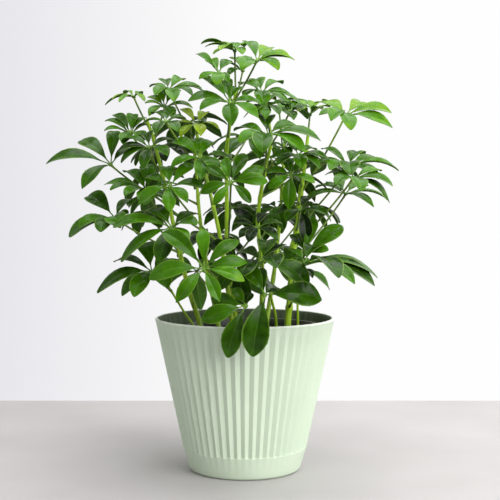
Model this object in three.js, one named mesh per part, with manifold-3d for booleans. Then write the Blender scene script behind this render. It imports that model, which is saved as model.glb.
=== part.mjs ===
// A young umbrella plant in its grow pot, standing in a pleated cover pot.
// Millimetres, +Z up, origin at the centre of the cover pot's foot, -Y is the front.
import * as THREE from "three";
import { mergeVertices } from "three/addons/utils/BufferGeometryUtils.js";
import Module from "manifold-3d";

const wasm = await Module();
wasm.setup();

// Driving dimensions of the cover pot.
const RIM_RADIUS = 89.5; // outside of the lip
const POT_HEIGHT = 150;
const FOOT_RADIUS = 54.5;
const FOOT_ROUNDING = 2.5; // the wall turns in over this height at the foot
const BAND_HEIGHT = 22; // plain band below the pleats
const BAND_RADIUS = 61.5; // outside, at the top of the band
const PLEAT_COUNT = 56;
const PLEAT_DEPTH = 2;
const PLEAT_TOP = 128; // the pleats run out between here and PLAIN_LIP
const PLAIN_LIP = 142;
const POT_FLOOR = 4.5;
const FLOOR_RADIUS = 52.5; // inside, at the floor
const LIP_THICKNESS = 3.8;

// Driving dimensions of the grow pot and the soil in it.
const GROW_POT_TOP = 142;
const GROW_POT_RADIUS = 66; // outside, under its rim
const GROW_POT_FOOT = 42;
const GROW_POT_SHIFT = 9; // to the right of the cover pot's axis
const GROW_POT_WALL = 1.4;
const GROW_RIM_WIDTH = 2;
const GROW_RIM_HEIGHT = 6;
const DRAIN_COUNT = 6;
const DRAIN_RADIUS = 4;
const DRAIN_CIRCLE = 30; // radius of the circle that the drain holes lie on
const SOIL_TOP = 133;
const SOIL_RELIEF = 1.3; // how far the soil rises and falls
const GAP = 0.3; // between pieces that rest on each other
const HOLE_CLEARANCE = 0.5; // around a stem in the soil

// Driving dimensions of the leaves.
const VIEW_DISTANCE = 1090; // the leaf places below are seen from this far in front
const VIEW_HEIGHT = 267;
const LEAFLET_WIDTH = 0.38; // of its length
const LEAFLET_ARCH = 0.33; // rise of a leaflet's crest over its chord, doubled, per length
const LEAFLET_CREST = 0.55; // how far along the crest lies
// The width of these leaves' leaflets against the others'.
const BROAD_LEAVES = { A1: 0.55, C1: 0.85, F1: 0.8, F3: 1.08, L2: 1.2 };
const STALK_SHARE = 0.14; // of a leaflet, narrow like a stalk
const LARGE_LEAFLET = 48; // a leaflet longer than this has one more step in its outline
const MIDRIB_DEPTH = 1.3; // of the keel that the midrib makes under the blade
const HUB_RADIUS = 2.6;
const HUB_HALF = 1.3;
const PETIOLE_RADIUS = 1.3;
const PETIOLE_STEPS = 3;
const STEM_SIDES = 6;

// Each leafy stem: radius at the soil and at the tip, and its course as [x, z, depth]. Its leaves
// follow. Every x and z is read on the plane of the pot's axis, looking from the front, and
// depth is how far behind that plane the point lies (in front of it where it is negative).
// Leaf: name, hub x, hub z, hub depth, height on the stem, direction that the leaf faces, length of
// a leaflet, and the leaflets as [right, up, turn]: turn runs from -1, towards the front, to 1.
// A leaf of the second kind has its leaflets by rule: count, first angle, droop.
const STEMS = {
  stem_left: {
    radius: [3.0, 1.4],
    course: [
      [-39, 112, 8], [-45, 144, 9], [-56, 177, 8], [-69, 232, 4], [-80, 282, 0], [-91, 327, -3],
      [-97, 345, -4],
    ],
    leaves: [
      ["A1", -111, 370, 14, 334, [0, 0, 1], 32, [
        [-29, -8, 0.2], [-22, -2, -0.6], [-15, -5, -0.9], [11, -4, -0.9], [8, 1, 1], [-10, 2, 1],
      ]],
      ["A2", -80, 360, 2, 326, [0, -0.4, 1], 34, [
        [-4, 18, 0.8], [-17, 10, 0.6], [-20, 4, -0.2], [-16, -9, -0.8], [15, 17, 0.7], [28, -1, 0.3],
        [8, -11, -0.8],
      ]],
      ["A4", -114, 333, 0, 296, [0, -0.35, 1], 34, [
        [-26, 13, 0.15], [-18, 19, 0.6], [-27, 3, -0.55], [3, 20, 0.7], [12, -8, -0.9], [22, 8, 0.6],
        [-8, -10, -0.9], [14, 16, 0.8],
      ]],
      ["A5", -95, 319, -41, 270, [0, -0.45, 1], 38, [
        [-28, 7, 0.6], [-29, -15, -0.3], [-7, -20, -0.7], [-33, -4, 0.2], [18, -8, -0.8], [24, 8, 0.6],
        [-4, 14, 0.9],
      ]],
      ["A6", -97, 274, -26, 228, [0, -0.45, 1], 46, [
        [-44, 8, 0.3], [-38, 3, -0.5], [-23, -3, -0.9], [-22, 21, 0.8], [1, 29, 0.8], [22, -10, -0.8],
        [30, 8, 0.6], [-4, -12, -1],
      ]],
      ["L1", -134, 302, -2, 262, [0, -0.5, 1], 66, [
        [-65, 1, 0], [-31, 24, 0.6], [-29, -24, -0.55], [4, 34, 0.45], [24, 15, 0.5],
      ]],
      ["L2", -130, 249, -20, 214, [-0.3, -0.6, 1], 50, [
        [-46, -19, -0.15], [-27, 22, 0.55], [18, 18, 0.6], [14, 5, -0.25], [-14, -14, -0.8],
        [-36, -10, -0.5], [6, -10, -0.9],
      ]],
      ["B6", -98, 256, 44, 215, [-0.3, -0.2, 1], 36, 6, 0, 0.35],
      ["B18", -84, 320, 44, 290, [-0.2, -0.2, 1], 38, 8, 15, 0.3],
    ],
  },
  stem_centre_left: {
    radius: [2.6, 1.3],
    course: [
      [-11, 112, -12], [-13, 145, -12], [-23, 220, -14], [-33, 267, -16], [-43, 307, -18],
      [-48, 334, -20],
    ],
    leaves: [
      ["C2", -45, 309, -54, 262, [0, -0.55, 1], 42, [
        [-29, -9, -0.4], [-28, 16, 0.5], [-9, 18, 0.9], [14, 15, 0.8], [1, -22, -0.8], [34, -2, 0.2],
        [20, -14, -0.7],
      ]],
      ["C3", -48, 342, -24, 330, [0, -0.3, 1], 34, [
        [-16, 16, 0.6], [10, 12, 0.8], [-17, -13, -0.6], [22, -4, -0.3], [4, -11, -0.9], [-24, 0, 0.2],
      ]],
      ["A9", -76, 377, -4, 318, [0.1, -0.2, 1], 38, [
        [38, -4, 0.1], [33, 2, 0.5], [24, -6, -0.6], [-19, 3, 0.5], [-14, -5, -0.8], [5, -12, -0.9],
        [-4, 8, 0.9], [14, 10, 0.8],
      ]],
      ["A3", -79, 345, -52, 290, [0, -0.4, 1], 30, [
        [-11, -12, -0.8], [-24, -2, 0.4], [-14, 8, 0.9], [6, 8, 0.9], [20, 4, 0.5], [12, -10, -0.8],
      ]],
      ["A7", -75, 280, -71, 222, [0, -0.55, 1], 40, [
        [-32, -19, -0.2], [0, -25, -0.7], [24, 22, 0.6], [37, -3, 0.1], [-24, 10, 0.6], [-4, 20, 0.9],
        [18, -16, -0.6],
      ]],
      ["A8", -73, 239, -76, 180, [0, -0.45, 1], 60, [
        [-59, 1, 0], [-51, -34, -0.3], [-13, -35, -0.6], [25, 14, 0.5], [25, 3, -0.45], [-20, 15, 0.9],
        [14, -20, -0.7],
      ]],
      ["F1", -41, 198, -112, 165, [0, -0.9, 0.55], 52, [
        [-41, 37, 0.2], [-2, 41, 0.4], [-55, -10, 0], [-28, -34, -0.3], [16, -33, -0.5], [44, 6, 0.2],
        [41, -12, -0.2], [36, 28, 0.3],
      ]],
      ["B19", -50, 327, 28, 300, [0, -0.2, 1], 22, 6, 25, 0.3],
    ],
  },
  stem_centre: {
    radius: [2.8, 1.4],
    course: [
      [-7, 112, 24], [-9, 145, 22], [-17, 217, 18], [-18, 267, 12], [-18, 317, 6], [-14, 347, 3],
      [-9, 375, 0],
    ],
    leaves: [
      ["T1", 12, 406, -22, 366, [0.1, -0.5, 0.9], 40, [
        [28, 6, 0.55], [14, 12, 0.85], [22, -9, -0.55], [38, 1, 0.1], [-16, -9, -0.9], [-12, 19, 0.85],
        [33, 4, -0.15],
      ]],
      ["T2", -10, 416, 8, 374, [0, -0.1, 1], 36, [
        [-34, 7, 0.15], [-30, 4, -0.3], [-22, -3, -0.7], [8, -3, -0.8], [10, 4, 0.9], [-8, 4, 1],
        [-15, 1, -0.9],
      ]],
      ["T3", -26, 394, -45, 364, [0, -0.5, 0.8], 30, [
        [-23, 19, 0.1], [-20, -6, -0.5], [-2, -12, -1], [-12, 12, 0.9], [12, 12, 0.8], [10, -10, -0.6],
      ]],
      ["T4", -2, 396, 27, 362, [0, -0.3, 1], 34, [
        [-22, 8, -0.3], [-14, -4, -0.8], [4, 12, 0.9], [12, 7, 0.6], [-10, 12, 1],
      ]],
      ["T6", -15, 364, -46, 330, [0, -0.5, 1], 44, [
        [-42, 2, 0.1], [-30, -7, -0.55], [-29, 26, 0.5], [-9, 22, 0.8], [10, 14, 0.85], [2, -23, -0.8],
        [32, -2, 0.3], [29, -15, -0.4],
      ]],
      ["C1", -14, 284, -88, 215, [0, -1, 0.35], 44, [
        [-24, 17, 0.3], [-6, 25, 0.5], [15, 29, 0.5], [37, 1, 0.1], [34, 15, 0.3], [-30, -11, 0],
        [-17, -22, -0.2], [20, -20, -0.3],
      ]],
      ["F4", 1, 161, -99, 156, [-0.1, -1, 0.35], 54, [
        [-18, -52, -0.1], [-44, -15, 0], [6, 13, 0.35], [-35, 8, 0.4], [-12, 18, 0.3],
      ]],
      ["F10", -6, 206, -56, 178, [-0.1, -0.9, 0.5], 48, [
        [6, -47, -0.2], [-20, -30, -0.5], [24, -34, 0.4], [-30, 18, 0.6], [-18, 20, 0.5],
      ]],
      ["F8", 12, 239, -80, 205, [0, -0.5, 1], 34, [
        [21, -12, -0.5], [-24, 4, 0.5], [10, 14, 0.8], [-8, -14, -0.8], [26, 4, 0.3], [-18, -10, -0.6],
      ]],
      ["B15", 2, 329, 56, 300, [0, -0.3, 1], 38, 8, 20, 0.3],
      ["B17", -14, 259, 54, 232, [0, -0.4, 1], 38, 8, 30, 0.35],
    ],
  },
  stem_centre_right: {
    radius: [2.8, 1.4],
    course: [
      [17, 112, 14], [17, 145, 14], [17, 205, 14], [13, 247, 14], [20, 297, 14], [26, 327, 14],
      [20, 368, 12],
    ],
    leaves: [
      ["R1", 17, 374, 10, 350, [0, -0.35, 1], 42, [
        [-8, 12, 0.95], [21, 9, 0.75], [31, -3, 0.45], [42, -14, 0], [-22, 8, 0.85], [-19, -4, -0.7],
        [2, -12, -1], [27, -11, -0.5],
      ]],
      ["R2", 21, 360, -28, 330, [0.1, -0.4, 1], 30, [
        [14, -8, -0.9], [25, -10, -0.4], [26, 3, 0.3], [-14, -6, -0.8], [-20, 4, 0.6], [2, 10, 1],
        [0, -12, -0.9],
      ]],
      ["R3", 45, 355, -10, 322, [0.1, -0.3, 1], 26, [
        [13, 2, -0.8], [-7, 7, 0.9], [20, 5, 0.4], [-14, 2, -0.6], [4, -8, -0.9], [10, 8, 0.9],
      ]],
      ["M1", 23, 332, -62, 290, [0, -0.55, 1], 52, [
        [-1, 17, 0.9], [53, -6, 0], [33, 6, 0.6], [38, -18, -0.45], [-5, -18, -0.9], [-34, 4, 0.5],
        [-29, -8, -0.6],
      ]],
      ["M2", 40, 319, -22, 296, [0, -0.3, 1], 24, [
        [-16, 4, 0.5], [-12, -6, -0.8], [14, 6, 0.8], [18, -4, -0.4], [4, -8, -1], [0, 10, 1],
      ]],
      ["F3", 20, 172, -106, 160, [0, -0.95, 0.4], 62, [
        [-12, -62, -0.1], [57, -4, 0], [-21, 28, 0.3], [-12, 26, 0.6], [12, 8, 0.6],
      ]],
      ["B16", 48, 290, 52, 270, [0.2, 0.3, 1], 38, 7, 0, 0.3],
      ["B20", 32, 259, 31, 225, [0, -0.4, 1], 28, 8, 20, 0.35],
    ],
  },
  stem_right: {
    radius: [3.6, 1.6],
    course: [
      [42, 112, -5], [43, 145, -5], [45, 167, -5], [48, 217, -4], [53, 242, -2], [55, 267, 0],
      [58, 287, 2], [61, 312, 4], [63, 330, 5],
    ],
    leaves: [
      ["R4", 65, 352, 35, 318, [0, -0.1, 1], 36, [
        [-32, 12, 0.2], [-18, 12, 0.8], [5, 12, 0.9], [20, 8, 0.5], [-12, 4, -0.8], [12, 6, -0.8],
      ]],
      ["R5", 101, 352, -5, 274, [0.1, -0.6, 1], 50, [
        [46, 2, 0.4], [47, -13, -0.4], [17, 11, 0.85], [-31, 12, 0.5], [-27, 0, -0.4], [-15, -6, -0.9],
        [5, -15, -1], [-22, 12, 0.9],
      ]],
      ["R6", 104, 300, -28, 240, [0, -0.35, 1], 52, [
        [13, 12, 0.9], [50, -4, 0], [-27, 18, 0.6], [2, -8, -1], [-19, -3, -0.75], [30, -12, -0.6],
        [-34, 4, 0.1], [34, 5, 0.6],
      ]],
      ["R7", 108, 288, -66, 222, [0.1, -0.4, 1], 40, [
        [28, 8, 0.6], [40, -7, 0.1], [37, -24, -0.3], [8, -12, -1], [-17, -6, -0.8], [-28, 4, 0.5],
        [-2, 12, 0.9],
      ]],
      ["R8", 101, 273, 8, 205, [0, -0.3, 1], 46, [
        [28, -13, -0.6], [-43, -10, 0], [42, -6, 0.1], [20, 8, 0.9], [-16, 8, 0.9], [-30, 6, 0.6],
      ]],
      ["M3", 53, 312, -50, 280, [0, -0.5, 1], 34, [
        [-26, -3, -0.1], [-21, -10, -0.65], [32, -5, -0.2], [18, 5, 0.7], [4, -14, -0.9], [-8, 10, 0.9],
        [22, -14, -0.5],
      ]],
      ["F6", 60, 213, -48, 180, [-0.1, -0.9, 0.6], 60, [
        [38, 28, 0.2], [-10, 20, 0.6], [24, 4, -0.3], [-24, -4, 0.4], [6, 38, 0.4], [-12, -14, -0.25],
      ]],
      ["F7", 60, 204, -96, 160, [0.1, -0.25, 1], 76, [
        [73, -15, 0.1], [70, -23, -0.35], [50, -21, -0.6], [34, -15, -0.9], [-20, 10, 0.4],
        [12, 14, 0.6],
      ]],
      ["G1", 55, 257, -40, 236, [0, -0.5, 1], 36, [
        [30, -6, -0.3], [6, -34, -0.4], [-22, 8, 0.5], [12, 12, 0.8], [-14, -12, -0.7], [-24, -4, 0.2],
      ]],
      ["G3", 46, 292, -66, 262, [0, -0.7, 0.8], 38, [
        [-2, -35, -0.3], [-24, 2, 0.4], [18, 14, 0.6], [24, -8, -0.4], [-6, 16, 0.8], [-22, -14, -0.3],
      ]],
      ["B13", 70, 262, 28, 212, [0.3, 0.1, 1], 30, 7, 40, 0.3],
    ],
  },
  stem_back_left: {
    radius: [2.8, 1.4],
    course: [
      [-22, 112, 38], [-27, 145, 44], [-38, 200, 60], [-46, 260, 78], [-50, 320, 88],
    ],
    leaves: [
      ["B1", -55, 345, 96, 300, [-0.1, 0.3, 1], 40, 7, 10, 0.25],
      ["B2", -95, 292, 74, 262, [-0.5, 0.3, 1], 42, 6, 40, 0.3],
      ["B3", -32, 305, 128, 270, [0.1, 0.6, 1], 44, 7, 0, 0.3],
      ["B4", -90, 272, 104, 235, [-0.3, 0.2, 1], 38, 6, 50, 0.3],
      ["B5", -34, 232, 128, 205, [0, -0.3, 1], 42, 8, 35, 0.4],
      ["B7", -48, 196, 112, 175, [-0.2, 0.7, 0.8], 44, 7, 15, 0.35],
    ],
  },
  stem_back_right: {
    radius: [2.8, 1.4],
    course: [
      [20, 112, 44], [22, 145, 48], [30, 200, 62], [36, 260, 78], [40, 330, 86],
    ],
    leaves: [
      ["B8", 34, 364, 92, 310, [0, 0.1, 1], 36, 7, 0, 0.2],
      ["B9", 80, 305, 82, 268, [0.4, 0.2, 1], 42, 7, 12, 0.3],
      ["B10", 26, 310, 126, 275, [0.1, 0.5, 1], 41, 7, 50, 0.3],
      ["B11", 62, 258, 86, 215, [0.3, 0.2, 1], 34, 6, 20, 0.3],
      ["B12", 26, 256, 110, 215, [0, -0.4, 1], 42, 8, 25, 0.35],
      ["B14", 34, 216, 112, 185, [0.1, 0.5, 0.9], 40, 7, 0, 0.3],
    ],
  },
  shoot_left: {
    radius: [1.5, 1.0],
    course: [
      [-42, 112, -6], [-47, 134, -8], [-53, 144, -9], [-60, 154, -10], [-68, 167, -14],
      [-76, 180, -24],
    ],
    leaves: [
      ["F2", -93, 195, -52, 178, [0, -0.45, 1], 56, [
        [-55, -21, 0], [-38, 10, 0.5], [-30, -24, -0.45], [-18, -25, -0.8], [-7, 29, 0.7],
        [16, -16, -0.8], [24, 10, 0.8],
      ]],
    ],
  },
  shoot_middle: {
    radius: [1.7, 1.1],
    course: [
      [32, 112, 34], [31, 147, 32], [27, 167, 24], [22, 190, 8],
    ],
    leaves: [
      ["F5", 17, 205, -80, 186, [0, -0.5, 1], 55, [
        [47, -24, -0.9], [14, -6, -0.9], [-24, 8, 0.6], [6, 20, 0.85], [20, 16, 0.8], [-20, -14, -0.7],
      ]],
    ],
  },
  shoot_right: {
    radius: [1.4, 1.0],
    course: [
      [53, 112, 22], [53, 146, 20], [53, 167, 18], [56, 186, 28],
    ],
    leaves: [
      ["F9", 54, 197, 36, 182, [0.2, -0.3, 1], 34, [
        [31, -20, -0.2], [14, -8, -0.8], [-18, 4, 0.6], [6, 12, 0.8], [-8, -10, -0.8], [20, 8, 0.7],
      ]],
    ],
  },
};

const up = new THREE.Vector3(0, 0, 1);
const away = new THREE.Vector3(0, 1, 0);
const eye = new THREE.Vector3(0, -VIEW_DISTANCE, VIEW_HEIGHT);

// The point that is seen at x, z on the plane of the pot's axis and lies depth behind it.
function place(x, z, depth) {
  const seen = new THREE.Vector3(x, 0, z);
  return seen.sub(eye).multiplyScalar(1 + depth / VIEW_DISTANCE).add(eye);
}

function solidOf(geometry) {
  const bare = geometry.index ? geometry.toNonIndexed() : geometry.clone();
  bare.deleteAttribute("normal");
  bare.deleteAttribute("uv");
  const merged = mergeVertices(bare, 1e-4);
  const mesh = new wasm.Mesh({
    numProp: 3,
    vertProperties: merged.attributes.position.array,
    triVerts: new Uint32Array(merged.index.array),
  });
  return new wasm.Manifold(mesh);
}

function geometryOf(solid) {
  const mesh = solid.getMesh();
  const geometry = new THREE.BufferGeometry();
  geometry.setAttribute("position", new THREE.BufferAttribute(mesh.vertProperties, 3));
  geometry.setIndex(new THREE.BufferAttribute(mesh.triVerts, 1));
  return geometry;
}

function meshSolid(points, faces) {
  const geometry = new THREE.BufferGeometry();
  geometry.setFromPoints(points);
  geometry.setIndex(faces);
  return solidOf(geometry);
}

// A solid through a stack of rings with the same number of points, anticlockwise from above.
function loft(rings) {
  const count = rings[0].length;
  const points = rings.flat();
  const faces = [];
  for (let ring = 0; ring + 1 < rings.length; ring += 1) {
    for (let i = 0; i < count; i += 1) {
      const a = ring * count + i;
      const b = ring * count + ((i + 1) % count);
      faces.push(a, b, b + count, a, b + count, a + count);
    }
  }
  const middle = (ring) => ring.reduce((sum, p) => sum.add(p), new THREE.Vector3()).divideScalar(count);
  const bottom = points.push(middle(rings[0])) - 1;
  const top = points.push(middle(rings[rings.length - 1])) - 1;
  const last = (rings.length - 1) * count;
  for (let i = 0; i < count; i += 1) {
    const next = (i + 1) % count;
    faces.push(bottom, next, i, top, last + i, last + next);
  }
  return meshSolid(points, faces);
}

// A turned solid about Z from [radius, height] pairs that start and end on the axis.
function turned(profile, segments) {
  const points = profile.map(([radius, height]) => new THREE.Vector2(radius, height));
  return solidOf(new THREE.LatheGeometry(points, segments).rotateX(Math.PI / 2));
}

function tube(course, radii, sides) {
  const rings = course.map((point, i) => {
    const before = course[Math.max(i - 1, 0)];
    const after = course[Math.min(i + 1, course.length - 1)];
    const along = after.clone().sub(before).normalize();
    const side = new THREE.Vector3().crossVectors(away, along).normalize();
    const front = new THREE.Vector3().crossVectors(along, side);
    return Array.from({ length: sides }, (_, k) => {
      const turn = (2 * Math.PI * k) / sides;
      const offset = side.clone().multiplyScalar(radii[i] * Math.cos(turn));
      return point.clone().add(offset).addScaledVector(front, radii[i] * Math.sin(turn));
    });
  });
  return loft(rings);
}

function wallRadius(height) {
  const slope = (RIM_RADIUS - BAND_RADIUS) / (POT_HEIGHT - BAND_HEIGHT);
  return BAND_RADIUS + slope * (height - BAND_HEIGHT);
}

// Cover pot: rounded foot, plain band, pleats with sharp crests and grooves, plain lip, hollow.
function coverPot() {
  const ring = (height, radius, depth) =>
    Array.from({ length: 2 * PLEAT_COUNT }, (_, i) => {
      const turn = (Math.PI * i) / PLEAT_COUNT;
      const r = radius - (i % 2 ? depth : 0);
      return new THREE.Vector3(r * Math.cos(turn), r * Math.sin(turn), height);
    });
  const footWall = FOOT_RADIUS + ((BAND_RADIUS - FOOT_RADIUS) * FOOT_ROUNDING) / BAND_HEIGHT + 0.6;
  const outside = loft([
    ring(0, FOOT_RADIUS, 0),
    ring(FOOT_ROUNDING, footWall, 0),
    ring(BAND_HEIGHT, BAND_RADIUS, 0),
    ring(BAND_HEIGHT + 0.8, wallRadius(BAND_HEIGHT + 0.8), PLEAT_DEPTH),
    ring(PLEAT_TOP, wallRadius(PLEAT_TOP), PLEAT_DEPTH),
    ring(PLAIN_LIP, wallRadius(PLAIN_LIP), 0),
    ring(POT_HEIGHT, RIM_RADIUS, 0),
  ]);
  const over = 1; // the hollow runs past the lip by this much
  const mouth = RIM_RADIUS - LIP_THICKNESS;
  const slope = (mouth - FLOOR_RADIUS) / (POT_HEIGHT - POT_FLOOR);
  const inside = turned(
    [
      [0, POT_FLOOR],
      [FLOOR_RADIUS, POT_FLOOR],
      [mouth + slope * over, POT_HEIGHT + over],
      [0, POT_HEIGHT + over],
    ],
    PLEAT_COUNT,
  );
  return outside.subtract(inside);
}

function growPotRadius(height) {
  const share = (height - POT_FLOOR) / (GROW_POT_TOP - POT_FLOOR);
  return GROW_POT_FOOT + (GROW_POT_RADIUS - GROW_POT_FOOT) * share;
}

// Grow pot: thin tapered cup with a thicker rim and drain holes in its floor.
function growPot() {
  const foot = POT_FLOOR + GAP;
  const floor = foot + GROW_POT_WALL;
  const rimFoot = GROW_POT_TOP - GROW_RIM_HEIGHT;
  const cup = turned(
    [
      [0, foot],
      [growPotRadius(foot), foot],
      [growPotRadius(rimFoot), rimFoot],
      [growPotRadius(rimFoot) + GROW_RIM_WIDTH, rimFoot + 1],
      [growPotRadius(GROW_POT_TOP) + GROW_RIM_WIDTH, GROW_POT_TOP],
      [growPotRadius(GROW_POT_TOP) - GROW_POT_WALL, GROW_POT_TOP],
      [growPotRadius(floor) - GROW_POT_WALL, floor],
      [0, floor],
    ],
    36,
  );
  const drains = Array.from({ length: DRAIN_COUNT }, (_, i) => {
    const turn = (2 * Math.PI * i) / DRAIN_COUNT;
    const hole = new THREE.CylinderGeometry(DRAIN_RADIUS, DRAIN_RADIUS, 4 * GROW_POT_WALL, 8);
    hole.rotateX(Math.PI / 2);
    hole.translate(DRAIN_CIRCLE * Math.cos(turn), DRAIN_CIRCLE * Math.sin(turn), foot);
    return solidOf(hole);
  });
  return cup.subtract(wasm.Manifold.union(drains)).translate([GROW_POT_SHIFT, 0, 0]);
}

// Soil: fills the grow pot, with an uneven top and a plain hole for each stem.
function soil(holes) {
  const sides = 24;
  const foot = POT_FLOOR + 2 * GAP + GROW_POT_WALL;
  const radiusAt = (height) => growPotRadius(height) - GROW_POT_WALL - GAP - 0.4;
  const ring = (radius, height, relief) =>
    Array.from({ length: sides }, (_, i) => {
      const turn = (2 * Math.PI * i) / sides;
      const rise = relief * Math.sin(3 * turn + radius) * Math.cos(5 * turn - 0.3 * radius);
      return new THREE.Vector3(radius * Math.cos(turn), radius * Math.sin(turn), height + rise);
    });
  const body = loft([
    ring(radiusAt(foot), foot, 0),
    ring(radiusAt(SOIL_TOP - 2 - SOIL_RELIEF), SOIL_TOP - 2, SOIL_RELIEF),
    ring(0.72 * radiusAt(SOIL_TOP), SOIL_TOP, SOIL_RELIEF),
    ring(0.36 * radiusAt(SOIL_TOP), SOIL_TOP, SOIL_RELIEF),
  ]).translate([GROW_POT_SHIFT, 0, 0]);
  return body.subtract(wasm.Manifold.union(holes));
}

function stemCourse(stem) {
  const nodes = stem.course.map((point) => place(...point));
  return new THREE.CatmullRomCurve3(nodes, false, "catmullrom", 0.5).getPoints(2 * (nodes.length - 1));
}

function stemRadii(stem, course) {
  const [low, high] = stem.radius;
  return course.map((_, i) => low + ((high - low) * i) / (course.length - 1));
}

function pointAtHeight(course, height) {
  const i = course.findIndex((point) => point.z > height);
  if (i < 1) return course[course.length - 1].clone();
  const share = (height - course[i - 1].z) / (course[i].z - course[i - 1].z);
  return course[i - 1].clone().lerp(course[i], share);
}

// The hole that a stem stands in: the stem itself, a little fatter and longer at the foot.
function stemHole(stem) {
  const course = stemCourse(stem);
  const reach = course.findIndex((point) => point.z > SOIL_TOP + 2 * SOIL_RELIEF) + 1;
  const part = course.slice(0, reach);
  const first = part[0].clone().addScaledVector(part[0].clone().sub(part[1]).normalize(), GAP);
  const radii = stemRadii(stem, course).slice(0, reach);
  return tube([first, ...part.slice(1)], radii.map((radius) => radius + HOLE_CLEARANCE), STEM_SIDES);
}

// Half width of a leaflet as a share of its widest, at s along its length.
function outline(s) {
  const t = Math.min(Math.max((s - STALK_SHARE) / (1 - STALK_SHARE), 0), 1);
  return Math.max(Math.sin(Math.PI * t ** 1.35), 0) ** 0.62;
}

// Leaflet tips by rule: count spokes about the facing direction, a little uneven, drooping.
function spokes(hub, facing, length, count, first, droop, seed) {
  const right = new THREE.Vector3().crossVectors(facing, new THREE.Vector3(0, 1, 0.1)).normalize();
  const front = new THREE.Vector3().crossVectors(facing, right);
  return Array.from({ length: count }, (_, k) => {
    const wobble = 9 * Math.sin(3.1 * seed + 2.3 * k);
    const turn = THREE.MathUtils.degToRad(first + (360 * k) / count + wobble);
    const reach = length * (1 + 0.14 * Math.sin(1.7 * seed + 1.9 * k));
    const fall = droop + 0.12 * Math.sin(seed + 2.9 * k);
    const out = right.clone().multiplyScalar(Math.cos(turn)).addScaledVector(front, Math.sin(turn));
    const tip = hub.clone().addScaledVector(out, reach * Math.cos(fall));
    return tip.addScaledVector(facing, -reach * Math.sin(fall)).addScaledVector(up, -0.08 * reach);
  });
}

// Leaflet tips by hand: each is seen right and up of the hub, and turned so far in depth
// that the leaflet keeps its length.
function handPlacedTips([x, z, depth], length, leaflets) {
  const scale = 1 + depth / VIEW_DISTANCE;
  return leaflets.map(([right, rise, turn]) => {
    const seen = Math.hypot(right, rise) * scale;
    const hidden = Math.sqrt(Math.max(length ** 2 - seen ** 2, 0));
    return place(x + right, z + rise, depth + turn * hidden);
  });
}

// One umbrella leaf as a single star-shaped solid: a hub and its arched leaflets.
function umbrella(hub, facing, tips, breadth) {
  const right = new THREE.Vector3().crossVectors(facing, new THREE.Vector3(0, 1, 0.1)).normalize();
  const front = new THREE.Vector3().crossVectors(facing, right);
  const turnOf = (tip) => {
    const reach = tip.clone().sub(hub);
    return Math.atan2(reach.dot(front), reach.dot(right));
  };
  const sorted = tips.map((tip) => ({ tip, turn: turnOf(tip) })).sort((a, b) => a.turn - b.turn);
  const count = sorted.length;
  const points = [
    hub.clone().addScaledVector(facing, HUB_HALF),
    hub.clone().addScaledVector(facing, -HUB_HALF),
  ];
  // The hub's edge between two leaflets.
  const notches = sorted.map(({ turn }, i) => {
    const next = sorted[(i + 1) % count].turn + (i + 1 === count ? 2 * Math.PI : 0);
    const half = (turn + next) / 2;
    const edge = hub.clone().addScaledVector(right, HUB_RADIUS * Math.cos(half));
    return points.push(edge.addScaledVector(front, HUB_RADIUS * Math.sin(half))) - 1;
  });
  const faces = [];
  const roots = sorted.map(({ tip }, i) => {
    const length = tip.distanceTo(hub);
    const crest = hub.clone().lerp(tip, LEAFLET_CREST);
    crest.addScaledVector(facing, LEAFLET_ARCH * length);
    const midline = new THREE.QuadraticBezierCurve3(hub, crest, tip);
    const firstSide = new THREE.Vector3().crossVectors(facing, midline.getTangent(0)).normalize();
    const widest = (LEAFLET_WIDTH * breadth * length) / 2;
    const keel = (s, side) => {
      const under = new THREE.Vector3().crossVectors(side, midline.getTangent(s));
      return points.push(midline.getPoint(s).addScaledVector(under, MIDRIB_DEPTH)) - 1;
    };
    const stations = length > LARGE_LEAFLET ? [0.34, 0.6, 0.84] : [0.4, 0.76];
    const root = {
      left: notches[i],
      right: notches[(i + count - 1) % count],
      under: keel((1.5 * HUB_RADIUS) / length, firstSide),
    };
    const rings = stations.map((s) => {
      const along = midline.getTangent(s);
      const side = firstSide.clone().addScaledVector(along, -firstSide.dot(along)).normalize();
      const halfWidth = widest * outline(s);
      return {
        left: points.push(midline.getPoint(s).addScaledVector(side, halfWidth)) - 1,
        right: points.push(midline.getPoint(s).addScaledVector(side, -halfWidth)) - 1,
        under: keel(s, side),
      };
    });
    [root, ...rings].forEach((a, k) => {
      const b = rings[k];
      if (!b) return;
      faces.push(a.right, b.right, b.left, a.right, b.left, a.left);
      faces.push(a.under, a.left, b.left, a.under, b.left, b.under);
      faces.push(a.under, b.under, b.right, a.under, b.right, a.right);
    });
    const end = points.push(tip.clone()) - 1;
    const last = rings[rings.length - 1];
    faces.push(last.right, end, last.left, last.left, end, last.under, last.under, end, last.right);
    return root;
  });
  roots.forEach(({ left, right: rightEdge, under }) => {
    faces.push(0, rightEdge, left, 1, left, under, 1, under, rightEdge);
  });
  return meshSolid(points, faces);
}

// A leaf's stalk, from inside the stem to the hub, a little bowed.
function petiole(base, hub) {
  const control = hub.clone().lerp(base, 0.42).addScaledVector(up, -0.07 * hub.distanceTo(base));
  const course = new THREE.QuadraticBezierCurve3(base, control, hub).getPoints(PETIOLE_STEPS);
  return tube(course, course.map(() => PETIOLE_RADIUS), 3);
}

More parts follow.
